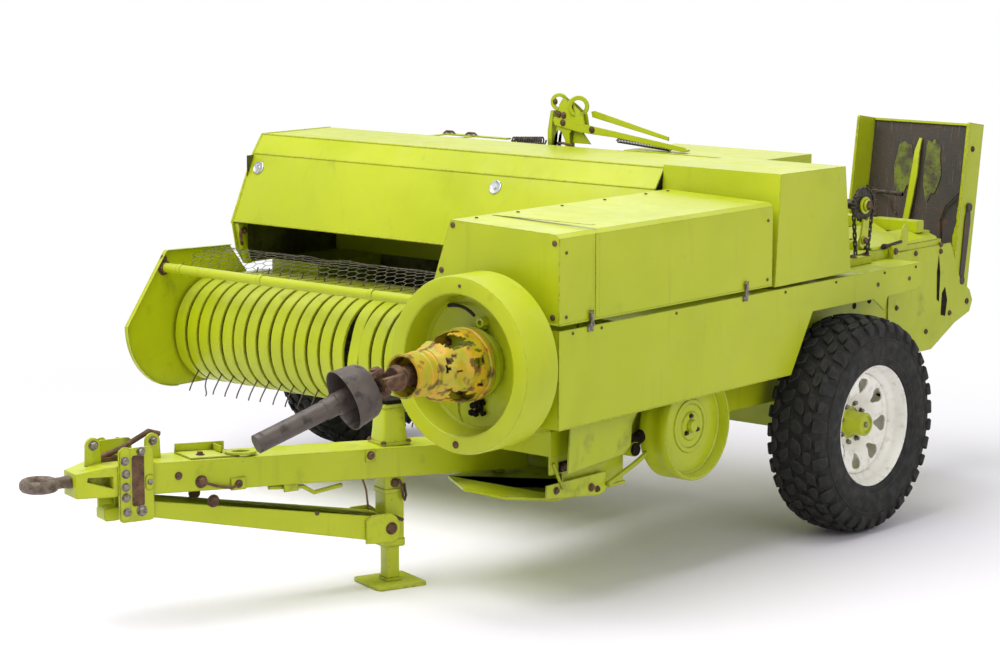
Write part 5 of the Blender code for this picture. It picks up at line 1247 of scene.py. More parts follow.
def buildHitch():
    front, side = drawbar["front"], drawbar["side"]
    centre = drawbar["pivotZ"] + drawbar["rise"] * front
    for name, way in (("left", 1), ("right", -1)):
        cheek = bmesh.new()
        start = side + 0.0003 if way > 0 else -side - 0.0003 - 0.010
        pushOutline(cheek, roundedBox((front - 0.078, 0.325), (front + 0.035, 0.550), 0.014), barSide(start), 0.010)
        proud = start + 0.010 if way > 0 else start - 0.006
        pushOutline(cheek, roundedBox((front + 0.001, 0.331), (front + 0.033, 0.556), 0.012), barSide(proud), 0.006)
        pushOutline(cheek, roundedBox((front - 0.076, 0.418), (front - 0.050, 0.464), 0.010), barSide(proud), 0.004)
        piece = finishPiece(f"hitch_plate_{name}", cheek, castEnamel, "drawbar", smooth=30, bevel=0.0014)
        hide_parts(f"hitch_cheek_{name}")

    head = bmesh.new()
    plan = [(-side, -front - 0.0003), (-side, -front - 0.055), (-0.046, -front - 0.158), (0.046, -front - 0.158), (side, -front - 0.055), (side, -front - 0.0003)]
    pushOutline(head, plan, drawbarFrame @ Matrix.Translation((0, 0, centre - 0.046)), 0.092)
    block = finishPiece("hitch_block", head, castEnamel, "drawbar", smooth=30)
    pocket = bmesh.new()
    hollow = [(front + 0.050, centre + 0.016), (front + 0.050, centre - 0.020), (front + 0.124, centre + 0.004), (front + 0.122, centre + 0.016)]
    pushOutline(pocket, hollow, barSide(0.030), 0.06)
    pushOutline(pocket, hollow, barSide(-0.090), 0.06)
    slope = [(front + 0.065, centre + 0.047), (front + 0.170, centre + 0.047), (front + 0.170, centre + 0.026)]
    pushOutline(pocket, slope, barSide(-0.09), 0.18)
    cutAway(block, pocket)
    rounding = block.modifiers.new("rounded_edges", "BEVEL")
    rounding.width = 0.003
    rounding.segments = 2
    rounding.limit_method = "ANGLE"
    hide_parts("hitch_head")

    pads = bmesh.new()
    pushOutline(pads, roundedBox((front - 0.046, 0.372), (front - 0.006, 0.527), 0.008), barSide(side + 0.0103), 0.0012)
    addTube(pads, [onDrawbar(-0.018, front + 0.062, 0.507), onDrawbar(-0.022, front - 0.02, 0.530), onDrawbar(-0.030, front - 0.115, 0.572), onDrawbar(-0.030, front - 0.150, 0.560)], 0.0085, 12)
    pushOutline(pads, roundedBox((front - 0.008, 0.000), (front + 0.060, 0.012), 0.004), barSide(-0.040) @ Matrix.Translation((0, 0.498, 0)), 0.034)
    finishPiece("bare_hitch_irons", pads, rustedForging, "drawbar", smooth=40)

    lugs = bmesh.new()
    for forward, z, x, tall in ((front + 0.080, 0.552, -0.012, 0.062), (front - 0.116, 0.546, -0.016, 0.058)):
        low = z - tall
        outline = [(forward - 0.026, low), (forward + 0.026, low), *arcPoints((forward, z), 0.024, 0, 180, 10)]
        pushOutline(lugs, outline, barSide(x), 0.012)
    pushOutline(lugs, roundedBox((front + 0.010, 0.322), (front + 0.062, 0.362), 0.010), barSide(-0.030), 0.060)
    finishPiece("hitch_lugs", lugs, castEnamel, "drawbar", smooth=30, bevel=0.0015)

    eye = bmesh.new()
    middle = drawbarFrame @ Matrix.Translation((0, -1.591, centre))
    ring = [(0.029, 0.0), (0.031, -0.010), (0.037, -0.0175), (0.045, -0.0195), (0.053, -0.0165), (0.0585, -0.009), (0.0597, 0.0), (0.0585, 0.009), (0.053, 0.0165),
            (0.045, 0.0195), (0.037, 0.0175), (0.031, 0.010)]
    turnProfile(eye, ring, middle, 56)
    sections = ((0.046, 0.024, 0.0155), (0.058, 0.0215, 0.0150), (0.072, 0.0200, 0.0155), (0.084, 0.0235, 0.0165), (0.0965, 0.0238, 0.0168))
    rings = []
    for back, halfWide, halfTall in sections:
        rings.append([eye.verts.new(middle @ Vector((x, back, z))) for x, z in roundedBox((-halfWide, -halfTall), (halfWide, halfTall), 0.009, 3)])
    for here, there in zip(rings, rings[1:]):
        for k in range(len(here)):
            m = (k + 1) % len(here)
            eye.faces.new((here[k], here[m], there[m], there[k]))
    eye.faces.new(rings[0])
    eye.faces.new(rings[-1])
    piece = finishPiece("forged_tow_eye", eye, towEyeSteel, "drawbar", smooth=45)
    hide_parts("tow_eye")

    bolts = bmesh.new()
    left = barDirection(1, 0, 0)
    for forward, z in ((0.027, 0.514), (0.024, 0.475), (0.025, 0.435), (0.025, 0.403), (0.022, 0.358)):
        addBolt(bolts, onDrawbar(side + 0.0163, front + forward - 0.008, z), left, 0.018, 0.009, turn=z * 9)
        addBolt(bolts, onDrawbar(-side - 0.0163, front + forward - 0.008, z), -left, 0.018, 0.009, turn=z * 7)
    for forward, z, size in ((-0.036, 0.538, 0.018), (-0.036, 0.357, 0.022), (-0.063, 0.442, 0.015)):
        addBolt(bolts, onDrawbar(side + 0.0115, front + forward, z), left, size, 0.010, turn=z)
        addBolt(bolts, onDrawbar(-side - 0.0103, front + forward, z), -left, size, 0.010, turn=z)
    addBolt(bolts, onDrawbar(0.000, front + 0.080, 0.553), left, 0.020, 0.012)
    addBolt(bolts, onDrawbar(-0.004, front - 0.116, 0.547), left, 0.018, 0.010)
    finishPiece("hitch_bolts", bolts, zincPlate, "drawbar")


def buildBeamFittings():
    side = drawbar["side"]
    left = barDirection(1, 0, 0)
    up = Vector((0, 0, 1))
    green, irons = bmesh.new(), bmesh.new()
    top = beamTop(1.04)
    rise = Matrix.Rotation(-math.atan(drawbar["rise"]), 4, "X")
    deck = drawbarFrame @ Matrix.Translation((0, -1.04, top)) @ rise
    addBlock(green, (-0.060, -0.085, 0.0005), (0.060, 0.080, 0.006), deck)
    addBlock(green, (-0.060, -0.085, 0.006), (-0.052, 0.080, 0.030), deck)
    addBlock(green, (-0.058, 0.040, 0.006), (0.010, 0.046, 0.026), deck)
    hook = deck @ Matrix.Translation((0.036, 0.095, 0.0065))
    outer = [(0.036 * math.cos(a), 0.052 * math.sin(a)) for a in (2 * math.pi * k / 28 for k in range(28))]
    inner = [(0.016 * math.cos(a), 0.030 * math.sin(a)) for a in (2 * math.pi * k / 28 for k in range(28))]
    for lowZ, highZ in ((0.0, 0.007),):
        rings = [[green.verts.new(hook @ Vector((x, y, z))) for x, y in line] for line, z in ((outer, lowZ), (outer, highZ), (inner, highZ), (inner, lowZ))]
        for n in range(4):
            here, there = rings[n], rings[(n + 1) % 4]
            for k in range(28):
                m = (k + 1) % 28
                green.faces.new((here[k], here[m], there[m], there[k]))
    for forward, z, wide, tall in ((0.975, 0.402, 0.050, 0.038), (0.516, 0.441, 0.034, 0.042)):
        addBlock(green, (-0.5 * wide, -0.5 * tall, 0), (0.5 * wide, 0.5 * tall, 0.006), barSide(side) @ Matrix.Translation((forward, z, 0)))
    addBlock(green, (0.765, 0.355, -0.010), (0.815, 0.379, -0.004), barSide(side))
    addTube(green, [onDrawbar(0.052, 0.86, 0.372), onDrawbar(0.052, 0.74, 0.362), onDrawbar(0.048, 0.70, 0.338), onDrawbar(0.044, 0.60, 0.350)], 0.007, 10)
    pushOutline(green, [(0.530, 0.156), (0.530, 0.232), (0.505, 0.246), (0.440, 0.246), (0.420, 0.232), (0.404, 0.205), (0.410, 0.165), (0.432, 0.150)], barSide(0.0675), 0.008)
    pushOutline(green, [(0.530, 0.156), (0.530, 0.232), (0.505, 0.246), (0.440, 0.246), (0.420, 0.232), (0.404, 0.205), (0.410, 0.165), (0.432, 0.150)], barSide(-0.0755), 0.008)
    finishPiece("beam_brackets", green, castEnamel, "drawbar", smooth=35, bevel=0.001)

    for forward, z, x, size, height in ((1.173, 0.447, side, 0.016, 0.008), (1.098, 0.421, side, 0.026, 0.016), (0.975, 0.402, side + 0.006, 0.017, 0.009),
                                        (0.516, 0.441, side + 0.006, 0.018, 0.010), (1.055, 0.355, 0.067, 0.026, 0.014), (0.440, 0.197, 0.0755, 0.026, 0.014),
                                        (0.700, 0.275, 0.067, 0.010, 0.004)):
        addBolt(irons, onDrawbar(x, forward, z), left, size, height, turn=forward * 5)
    for forward, z, x, size in ((1.055, 0.355, -0.067, 0.026), (0.440, 0.197, -0.0755, 0.026), (1.098, 0.421, -side, 0.024)):
        addBolt(irons, onDrawbar(x, forward, z), -left, size, 0.012)
    addTube(irons, [onDrawbar(side + 0.009, 1.098, 0.421), onDrawbar(side + 0.012, 1.05, 0.404), onDrawbar(side + 0.010, 1.0, 0.392), onDrawbar(side + 0.008, 0.975, 0.400)], 0.0045, 8)
    addBolt(irons, deck @ Vector((0.020, -0.035, 0.006)), up, 0.018, 0.010)
    addTube(irons, [onDrawbar(0.060, 0.535, 0.366), onDrawbar(0.066, 0.525, 0.330), onDrawbar(0.062, 0.518, 0.288), onDrawbar(0.056, 0.512, 0.262)], 0.0032, 6)
    for forward in (0.93, 1.00, 1.12, 1.21):
        addBolt(irons, onDrawbar(-side, forward, beamTop(forward) - 0.05), -left, 0.015, 0.007)
    finishPiece("beam_bolts", irons, rustedForging, "drawbar", smooth=40)


def buildJack():
    forward = drawbar["jack"]
    at = drawbarFrame @ Matrix.Translation((0, -forward, 0))
    left = barDirection(1, 0, 0)
    tube = bmesh.new()
    for outline, low, high in ((roundedBox((-0.0348, -0.0348), (0.0348, 0.0348), 0.006), 0.125, 0.590),):
        pushOutline(tube, outline, at @ Matrix.Translation((0, 0, low)), high - low)
    piece = finishPiece("jack_sleeve", tube, frameEnamel, "drawbar", smooth=40)
    bore = bmesh.new()
    pushOutline(bore, roundedBox((-0.029, -0.029), (0.029, 0.029), 0.004), at @ Matrix.Translation((0, 0, 0.100)), 0.470)
    cutAway(piece, bore)
    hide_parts("jack_tube")
    base = beamTop(forward)
    shell = bmesh.new()
    rings = []
    for half, z in ((0.052, base + 0.0012), (0.052, base + 0.010), (0.0445, base + 0.011), (0.041, base + 0.050), (0.0375, 0.574), (0.040, 0.576), (0.040, 0.586)):
        rings.append([shell.verts.new(at @ Vector((x, y, z))) for x, y in roundedBox((-half, -half), (half, half), 0.008, 3)])
    for here, there in zip(rings, rings[1:]):
        for k in range(len(here)):
            m = (k + 1) % len(here)
            shell.faces.new((here[k], here[m], there[m], there[k]))
    shell.faces.new(rings[0])
    shell.faces.new(rings[-1])
    for low, high in (((-0.0375, -0.0375, 0.128), (0.0375, 0.0375, 0.150)), ((-0.0385, -0.0385, 0.300), (0.0385, 0.0385, 0.314))):
        pushOutline(shell, roundedBox(low[:2], high[:2], 0.007), at @ Matrix.Translation((0, 0, low[2])), high[2] - low[2])
    sleeve = finishPiece("jack_housing", shell, castEnamel, "drawbar", smooth=35)
    gone = bmesh.new()
    pushOutline(gone, roundedBox((-0.0345, -0.0345), (0.0345, 0.0345), 0.006), at @ Matrix.Translation((0, 0, 0.10)), 0.30)
    cutAway(sleeve, gone)
    cap = bmesh.new()
    pushOutline(cap, roundedBox((-0.036, -0.036), (0.036, 0.036), 0.010), at @ Matrix.Translation((0, 0, 0.5862)), 0.0135)
    finishPiece("jack_cap", cap, darkSteelAndShade, "drawbar", smooth=35, bevel=0.002)
    leg = bmesh.new()
    pushOutline(leg, roundedBox((-0.0228, -0.0228), (0.0228, 0.0228), 0.004), at @ Matrix.Translation((0, 0, 0.0123)), 0.3177)
    pushOutline(leg, roundedBox((-0.0275, -0.0275), (0.0275, 0.0275), 0.006), at @ Matrix.Translation((0, 0, 0.0122)), 0.0098)
    piece = finishPiece("jack_ram", leg, frameEnamel, "jack", smooth=35)
    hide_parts("jack_leg")
    foot = bmesh.new()
    pushOutline(foot, roundedBox((-0.090, -0.090), (0.090, 0.090), 0.020, 6), at @ Matrix.Translation((0, 0, 0.0)), 0.0118)
    piece = finishPiece("jack_sole", foot, footEnamel, "jack", smooth=35, bevel=0.002)
    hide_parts("jack_foot")
    irons = bmesh.new()
    for x, y in ((0.046, 0.046), (0.046, -0.046), (-0.046, 0.046), (-0.046, -0.046)):
        addBolt(irons, at @ Vector((x * 0.98, y * 0.98, base + 0.010)), (0, 0, 1), 0.013, 0.008, turn=x * 20)
    addBolt(irons, onDrawbar(0.0348, forward, 0.333), left, 0.020, 0.010)
    addTube(irons, [onDrawbar(0.041, forward - 0.012, 0.345), onDrawbar(0.050, forward - 0.018, 0.325), onDrawbar(0.050, forward - 0.022, 0.288),
                    onDrawbar(0.046, forward - 0.030, 0.276), onDrawbar(0.044, forward - 0.036, 0.290), onDrawbar(0.044, forward - 0.030, 0.330)], 0.0042, 8)
    addRod(irons, onDrawbar(-0.050, forward, 0.223), onDrawbar(0.084, forward, 0.223), 0.006, 12)
    finishPiece("jack_irons", irons, rustedForging, "drawbar", smooth=40)


print("drawbar")
buildHitch()
buildBeamFittings()
buildJack()


# Underside: plates, rods and the drive pulley


def buildUnderside():
    left = Vector((1, 0, 0))
    plates, irons, dark = bmesh.new(), bmesh.new(), bmesh.new()
    # a bolted apron between the front cross member and the pulley, with a round tube end behind it
    pushOutline(plates, [(-1.430, 0.410), (-1.415, 0.578), (-1.130, 0.578), (-1.075, 0.560), (-1.108, 0.520), (-1.112, 0.455), (-1.145, 0.430)], alongX(0.905), 0.005)
    pushOutline(plates, [(-1.470, 0.330), (-1.465, 0.372), (-1.170, 0.372), (-1.170, 0.308), (-1.200, 0.300)], alongX(0.8505), 0.005)
    addTube(plates, [onMachine(0.852, -1.430, 0.438), onMachine(0.856, -1.390, 0.352)], 0.0055, 8)
    addTube(plates, [onMachine(0.862, -1.170, 0.330), onMachine(0.880, -1.06, 0.378), onMachine(0.895, -0.985, 0.420)], 0.0085, 10)
    addRod(plates, onMachine(0.800, -1.070, 0.432), onMachine(0.893, -1.070, 0.432), 0.024, 24)
    for x in (0.87, 0.93):
        addBlock(plates, (x, -0.880, 0.520), (x + 0.004, -0.812, 0.581), machineFrame)
    finishPiece("apron_plates", plates, castEnamel, "root", smooth=35)
    # dark pieces under the housing: a dark curved tube, and a disc and a flat strip that paint the shade inside the
    # open tube end and in a slot
    addTube(dark, [onMachine(0.872, -1.115, 0.525), onMachine(0.868, -1.09, 0.470), onMachine(0.872, -1.05, 0.450), onMachine(0.880, -0.99, 0.480), onMachine(0.884, -0.945, 0.540)], 0.021, 14)
    addRod(dark, onMachine(0.893, -1.070, 0.432), onMachine(0.900, -1.070, 0.432), 0.021, 20)
    addBlock(dark, (0.8505, -1.402, 0.404), (0.8545, -1.262, 0.436), machineFrame)
    finishPiece("dark_underside_parts", dark, darkSteelAndShade, "root", smooth=40)
    for y, z, size in ((-1.385, 0.420, 0.016), (-1.345, 0.420, 0.022), (-1.300, 0.420, 0.016), (-1.225, 0.462, 0.020), (-1.188, 0.470, 0.020), (-1.168, 0.508, 0.018),
                       (-1.245, 0.332, 0.018), (-1.215, 0.322, 0.014), (-1.42, 0.350, 0.016)):
        addBolt(irons, onMachine(0.8558 if z < 0.45 or y < -1.2 else 0.8505, y, z), left, size, 0.009, turn=y * 7)
    addTube(irons, [onMachine(0.8530, -1.168, 0.510), onMachine(0.8545, -1.176, 0.480), onMachine(0.8545, -1.172, 0.452), onMachine(0.8530, -1.186, 0.425)], 0.0060, 8)
    finishPiece("apron_bolts", irons, rustedForging, "root", smooth=40)


def buildPulley():
    place = facing(onMachine(0.923, -0.846, 0.481), (1, 0, 0))
    bm = bmesh.new()
    profile = [(0, 0.038), (0.018, 0.038), (0.020, 0.034), (0.022, 0.026), (0.045, 0.026), (0.048, 0.022), (0.070, 0.021), (0.072, 0.0245), (0.086, 0.0245), (0.088, 0.021),
               (0.150, 0.020), (0.156, 0.024), (0.160, 0.044), (0.1635, 0.0535), (0.168, 0.0548), (0.1725, 0.0535), (0.1748, 0.049), (0.1748, 0.020), (0.1738, 0.018),
               (0.1738, -0.016), (0.1748, -0.018), (0.1748, -0.049), (0.170, -0.0548), (0.160, -0.0535), (0.156, 0.010), (0.038, 0.010), (0.038, -0.042), (0.0178, -0.042),
               (0.0178, -0.110), (0, -0.110)]
    turnProfile(bm, profile, place, 112, ring=False)
    piece = finishPiece("spun_drive_pulley", bm, frameEnamel, "drive_pulley", smooth=28)
    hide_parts("drive_pulley")
    irons = bmesh.new()
    for n in range(3):
        angle = math.radians(95 + 120 * n)
        addBolt(irons, place @ Vector((0.034 * math.cos(angle), 0.034 * math.sin(angle), 0.026)), (1, 0, 0), 0.011, 0.009, turn=n)
    for n in range(3):
        angle = math.radians(35 + 120 * n)
        turnProfile(irons, [(0, 0), (0.003, 0), (0.003, 0.001), (0, 0.001)], place @ Matrix.Translation((0.046 * math.cos(angle), 0.046 * math.sin(angle), 0.0215)), 12, ring=False)
    finishPiece("pulley_bolts", irons, oiledSteel, "drive_pulley")


print("underside")
buildUnderside()
buildPulley()


# Bale chute and the tension gear behind the knotters


def onChute(x, y, z):
    return chuteFrame @ Vector((x, y, z))


def buildChute():
    wide = 0.2335
    sheet = bmesh.new()
    columns, rows = 28, 36

    def buckle(u, v):
        wave = noise.noise(Vector((u * 2.1 + 3, v * 2.9, 0.4))) * 0.0016 + noise.noise(Vector((u * 6, v * 7, 2))) * 0.0005
        return wave * min(1, 8 * u * (1 - u)) * min(1, 8 * v * (1 - v))

    for back in (0, 1):
        grid = [[sheet.verts.new(onChute(-wide + 2 * wide * i / columns, buckle(i / columns, j / rows) + (0.0040 if back else -0.0005), -0.008 + 0.662 * j / rows))
                 for i in range(columns + 1)] for j in range(rows + 1)]
        for j in range(rows):
            for i in range(columns):
                sheet.faces.new((grid[j][i], grid[j][i + 1], grid[j + 1][i + 1], grid[j + 1][i]))
        if back:
            border = [(0, i) for i in range(columns + 1)] + [(j, columns) for j in range(1, rows + 1)] + [(rows, i) for i in range(columns - 1, -1, -1)] + [(j, 0) for j in range(rows - 1, 0, -1)]
            for (j0, i0), (j1, i1) in zip(border, border[1:] + border[:1]):
                sheet.faces.new((front[j0][i0], front[j1][i1], grid[j1][i1], grid[j0][i0]))
        front = grid
    piece = finishPiece("chute_sheet", sheet, chuteSheet, "bale_chute", smooth=60)
    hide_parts("bale_chute")

    flanges = bmesh.new()
    toSide = Matrix(((0, 0, 1, 0), (1, 0, 0, 0), (0, 1, 0, 0), (0, 0, 0, 1)))
    outline = [(-0.024, -0.017), (0.0040, -0.017), (0.0040, 0.655), (-0.104, 0.655), (-0.110, 0.649), (-0.110, 0.180), (-0.090, 0.120), (-0.062, 0.062)]
    hem = [(-0.110, 0.182), (-0.110, 0.649), (-0.104, 0.655), (-0.092, 0.655), (-0.097, 0.643), (-0.097, 0.188)]
    for way in (-1, 1):
        x = wide if way > 0 else -wide - 0.0048
        pushOutline(flanges, outline, chuteFrame @ toSide @ Matrix.Translation((0, 0, x)), 0.0048)
        pushOutline(flanges, hem, chuteFrame @ toSide @ Matrix.Translation((0, 0, x + (0.0048 if way > 0 else -0.006))), 0.006)
    addBlock(flanges, (-0.232, -0.008, 0.646), (0.232, 0.0045, 0.655), chuteFrame)
    finishPiece("chute_flanges", flanges, frameEnamel, "bale_chute", smooth=30, bevel=0.0008)

    bar = bmesh.new()
    points = [(-0.020, -0.006, 0.590, 0.006), (-0.024, -0.016, 0.540, 0.011), (-0.026, -0.018, 0.450, 0.014), (-0.036, -0.018, 0.340, 0.013),
              (-0.050, -0.014, 0.240, 0.012), (-0.058, -0.010, 0.170, 0.009)]
    rings = [[bar.verts.new(onChute(x + side * half, y + out, z)) for side, out in ((-1, -0.003), (1, -0.003), (1, 0.003), (-1, 0.003))]
             for x, y, z, half in points]
    for here, there in zip(rings, rings[1:]):
        for k in range(4):
            bar.faces.new((here[k], here[(k + 1) % 4], there[(k + 1) % 4], there[k]))
    bar.faces.new(rings[0])
    bar.faces.new(rings[-1])
    pushOutline(bar, [(-0.064, 0.080), (-0.030, 0.092), (-0.028, 0.175), (-0.046, 0.182), (-0.062, 0.150)],
                chuteFrame @ Matrix(((1, 0, 0, 0), (0, 0, -1, -0.012), (0, 1, 0, 0), (0, 0, 0, 1))), 0.006)
    finishPiece("chute_bent_bar", bar, frameEnamel, "bale_chute", smooth=30)

    # what is left of the paint on the sheet: a ragged strip beside the near flange and two rubbed patches
    toSheet = chuteFrame @ Matrix(((1, 0, 0, 0), (0, 0, -1, -0.0030), (0, 1, 0, 0), (0, 0, 0, 1)))
    strip, patches = bmesh.new(), bmesh.new()
    ragged = [(0.184 - 0.030 * (1 - z / 0.64) + 0.016 * noise.noise(Vector((z * 11, 2, 0))) + 0.006 * noise.noise(Vector((z * 47, 5, 0))), z)
              for z in (0.640 - 0.013 * n for n in range(46))]
    pushOutline(strip, [(0.2332, 0.055), (0.2332, 0.645), (0.190, 0.645), *ragged], toSheet, 0.0008)
    finishPiece("chute_paint_left", strip, frameEnamel, "bale_chute")
    for x, z, wide, tall in ((-0.085, 0.475, 0.040, 0.105), (0.038, 0.480, 0.036, 0.112)):
        edge = []
        for n in range(36):
            angle = 2 * math.pi * n / 36
            reach = 1 + 0.35 * noise.noise(Vector((math.cos(angle) * 1.7 + x * 40, math.sin(angle) * 1.7, 0)))
            edge.append((x + wide * reach * math.cos(angle), z + tall * reach * math.sin(angle)))
        pushOutline(patches, edge, toSheet, 0.0006)
    finishPiece("chute_rubbed_paint", patches, rubbedEnamel, "bale_chute")

    wires = bmesh.new()
    addTube(wires, [onChute(-0.230, -0.016, 0.395), onChute(-0.160, -0.020, 0.375), onChute(-0.128, -0.014, 0.352), onChute(-0.118, -0.012, 0.325), onChute(-0.095, -0.008, 0.300)], 0.0036, 8)
    addTube(wires, [onChute(-0.090, -0.040, 0.105), onChute(0.060, -0.050, 0.080), onChute(0.150, -0.046, 0.064), onChute(0.166, -0.040, 0.045), onChute(0.176, -0.026, 0.000)], 0.0040, 8)
    addTube(wires, [onChute(-0.212, -0.012, 0.240), onChute(-0.170, -0.014, 0.225), onChute(-0.150, -0.010, 0.180), onChute(-0.156, -0.006, 0.120)], 0.0030, 6)
    addTube(wires, [onChute(0.228, -0.010, 0.405), onChute(0.190, -0.014, 0.412), onChute(0.120, -0.010, 0.345), onChute(0.100, -0.008, 0.290), onChute(0.112, -0.006, 0.190)], 0.0034, 6)
    addRod(wires, onChute(-0.2486, 0, 0), onChute(0.2486, 0, 0), 0.0098, 20)
    for x in (-0.2386, 0.2386):
        way = math.copysign(1, x)
        addBolt(wires, onChute(x, -0.060, 0.560), chuteFrame.to_3x3() @ Vector((way, 0, 0)), 0.014, 0.006)
        addBolt(wires, onChute(x, -0.050, 0.090), chuteFrame.to_3x3() @ Vector((way, 0, 0)), 0.014, 0.006)
    finishPiece("chute_wires", wires, rustedThinSteel, "bale_chute", smooth=40)

    link = bmesh.new()
    pushOutline(link, [(-0.062, 0.070), (-0.034, 0.062), (-0.028, 0.300), (-0.040, 0.345), (-0.058, 0.345), (-0.066, 0.300)],
                chuteFrame @ toSide @ Matrix.Translation((0, 0, 0.2388)), 0.005)
    for y, z in ((-0.048, 0.345), (-0.048, 0.075)):
        addRod(link, onChute(0.238, y, z), onChute(0.2475, y, z), 0.016, 20)
    finishPiece("chute_strap", link, chuteSheet, "bale_chute", smooth=40, bevel=0.001)


def buildRearFittings():
    green, dark, irons = bmesh.new(), bmesh.new(), bmesh.new()
    left = Vector((1, 0, 0))
    side = 0.8553
    # folded sheets that slope down to the chamber's top, and the tension bracket above them
    pushOutline(green, [(0.345, 0.946), (0.352, 1.010), (0.560, 1.004), (0.640, 0.972), (0.800, 0.950), (0.800, 0.946)], alongX(0.395), 0.004)
    addBlock(green, (0.400, 0.345, 0.9456), (0.434, 0.810, 0.9490), machineFrame)
    for low, high, z0, z1 in ((0.620, 0.735, 0.9206, 0.962), (0.740, 0.852, 0.9206, 0.950)):
        outline = [(low, z1), (low + 0.020, z1 + 0.010), (high - 0.006, z0 + 0.010), (high, z0), (high - 0.004, z0), (high - 0.010, z0 + 0.006), (low + 0.020, z1 + 0.006), (low, z1 - 0.004)]
        pushOutline(green, outline, machineFrame @ Matrix(((1, 0, 0, 0), (0, 0, 1, 0.350), (0, 1, 0, 0), (0, 0, 0, 1))), 0.335 if low < 0.7 else 0.430)
    pushOutline(green, [(0.505, 0.905), (0.560, 0.905), (0.566, 0.985), (0.548, 1.000), (0.530, 0.985), (0.516, 0.935), (0.470, 0.930), (0.470, 0.912)], alongX(side + 0.001), 0.006)
    addBlock(green, (side + 0.0005, 0.445, 0.792), (side + 0.022, 0.475, 0.930), machineFrame)
    addBlock(green, (side + 0.0005, 0.150, 0.8855), (side + 0.026, 0.300, 0.9130), machineFrame)
    finishPiece("rear_sheets", green, frameEnamel, "root", smooth=30, bevel=0.0008)

    # painted shade: thin dark patches and discs on the side face stand for the shade inside slots and holes
    addBlock(dark, (side + 0.0004, 0.480, 0.800), (side + 0.0012, 0.560, 0.850), machineFrame)
    pushOutline(dark, [(0.770, 0.700), (0.786, 0.690), (0.790, 0.800), (0.778, 0.862), (0.768, 0.800)], alongX(0.8606), 0.0008)
    pushOutline(dark, [(0.800, 0.640), (0.830, 0.632), (0.842, 0.690), (0.826, 0.740), (0.806, 0.720)], alongX(0.8606), 0.0008)
    for y, z, r in ((0.235, 0.828, 0.012), (0.330, 0.838, 0.013)):
        turnProfile(dark, [(0, 0), (r, 0), (r, 0.0008), (0, 0.0008)], facing(onMachine(side + 0.0002, y, z - 0.09), left), 20, ring=False)
    finishPiece("slot_shade_patches", dark, darkSteelAndShade, "root", smooth=40)

    rods = bmesh.new()
    addRod(rods, onMachine(0.8615, 0.400, 0.930), onMachine(0.8615, 0.520, 0.938), 0.006, 14)
    addRod(rods, onMachine(0.8615, 0.404, 0.930), onMachine(0.8615, 0.418, 0.931), 0.011, 6)
    finishPiece("tension_screw", rods, oiledSteel, "root", smooth=40)

    crank = bmesh.new()
    addRod(crank, onMachine(0.615, 0.7225, 0.9903), onMachine(0.615, 0.7225, 1.090), 0.0118, 20)
    addTube(crank, [onMachine(0.611, 0.7225, 1.081), onMachine(0.650, 0.7225, 1.084), onMachine(0.700, 0.7225, 1.083), onMachine(0.712, 0.7225, 1.080), onMachine(0.7345, 0.7225, 1.080)], 0.0075, 12)
    addRod(crank, onMachine(0.700, 0.7225, 1.083), onMachine(0.7345, 0.7225, 1.083), 0.0088, 14)
    for step in range(9):
        turnProfile(crank, [(0.011, -0.0022), (0.0135, 0), (0.011, 0.0022)], facing(onMachine(0.615, 0.7225, 1.000 + 0.0065 * step), (0, 0, 1)), 20)
    piece = finishPiece("tension_crank", crank, rustedThinSteel, "root", smooth=40)
    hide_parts("tension_spindle")

    for y, z in ((0.46, 0.910), (0.46, 0.828), (0.555, 0.835), (0.79, 0.900), (0.79, 0.875), (0.62, 0.885), (0.70, 0.590), (0.56, 0.60), (0.50, 0.70), (0.86, 0.64)):
        addBolt(irons, onMachine(side + (0.0222 if y == 0.46 else 0.0052), y, z), left, 0.016 if y == 0.46 else 0.013, 0.007, turn=y * 11)
    for y in (0.20, 0.28):
        addBolt(irons, onMachine(0.870, y, 0.9130), (0, 0, 1), 0.018, 0.011, turn=y * 9)
    addBolt(irons, onMachine(0.548, 0.985, 0.5), left, 0.004, 0.002, washer=False)
    finishPiece("rear_bolts", irons, rustedForging, "root", smooth=40)


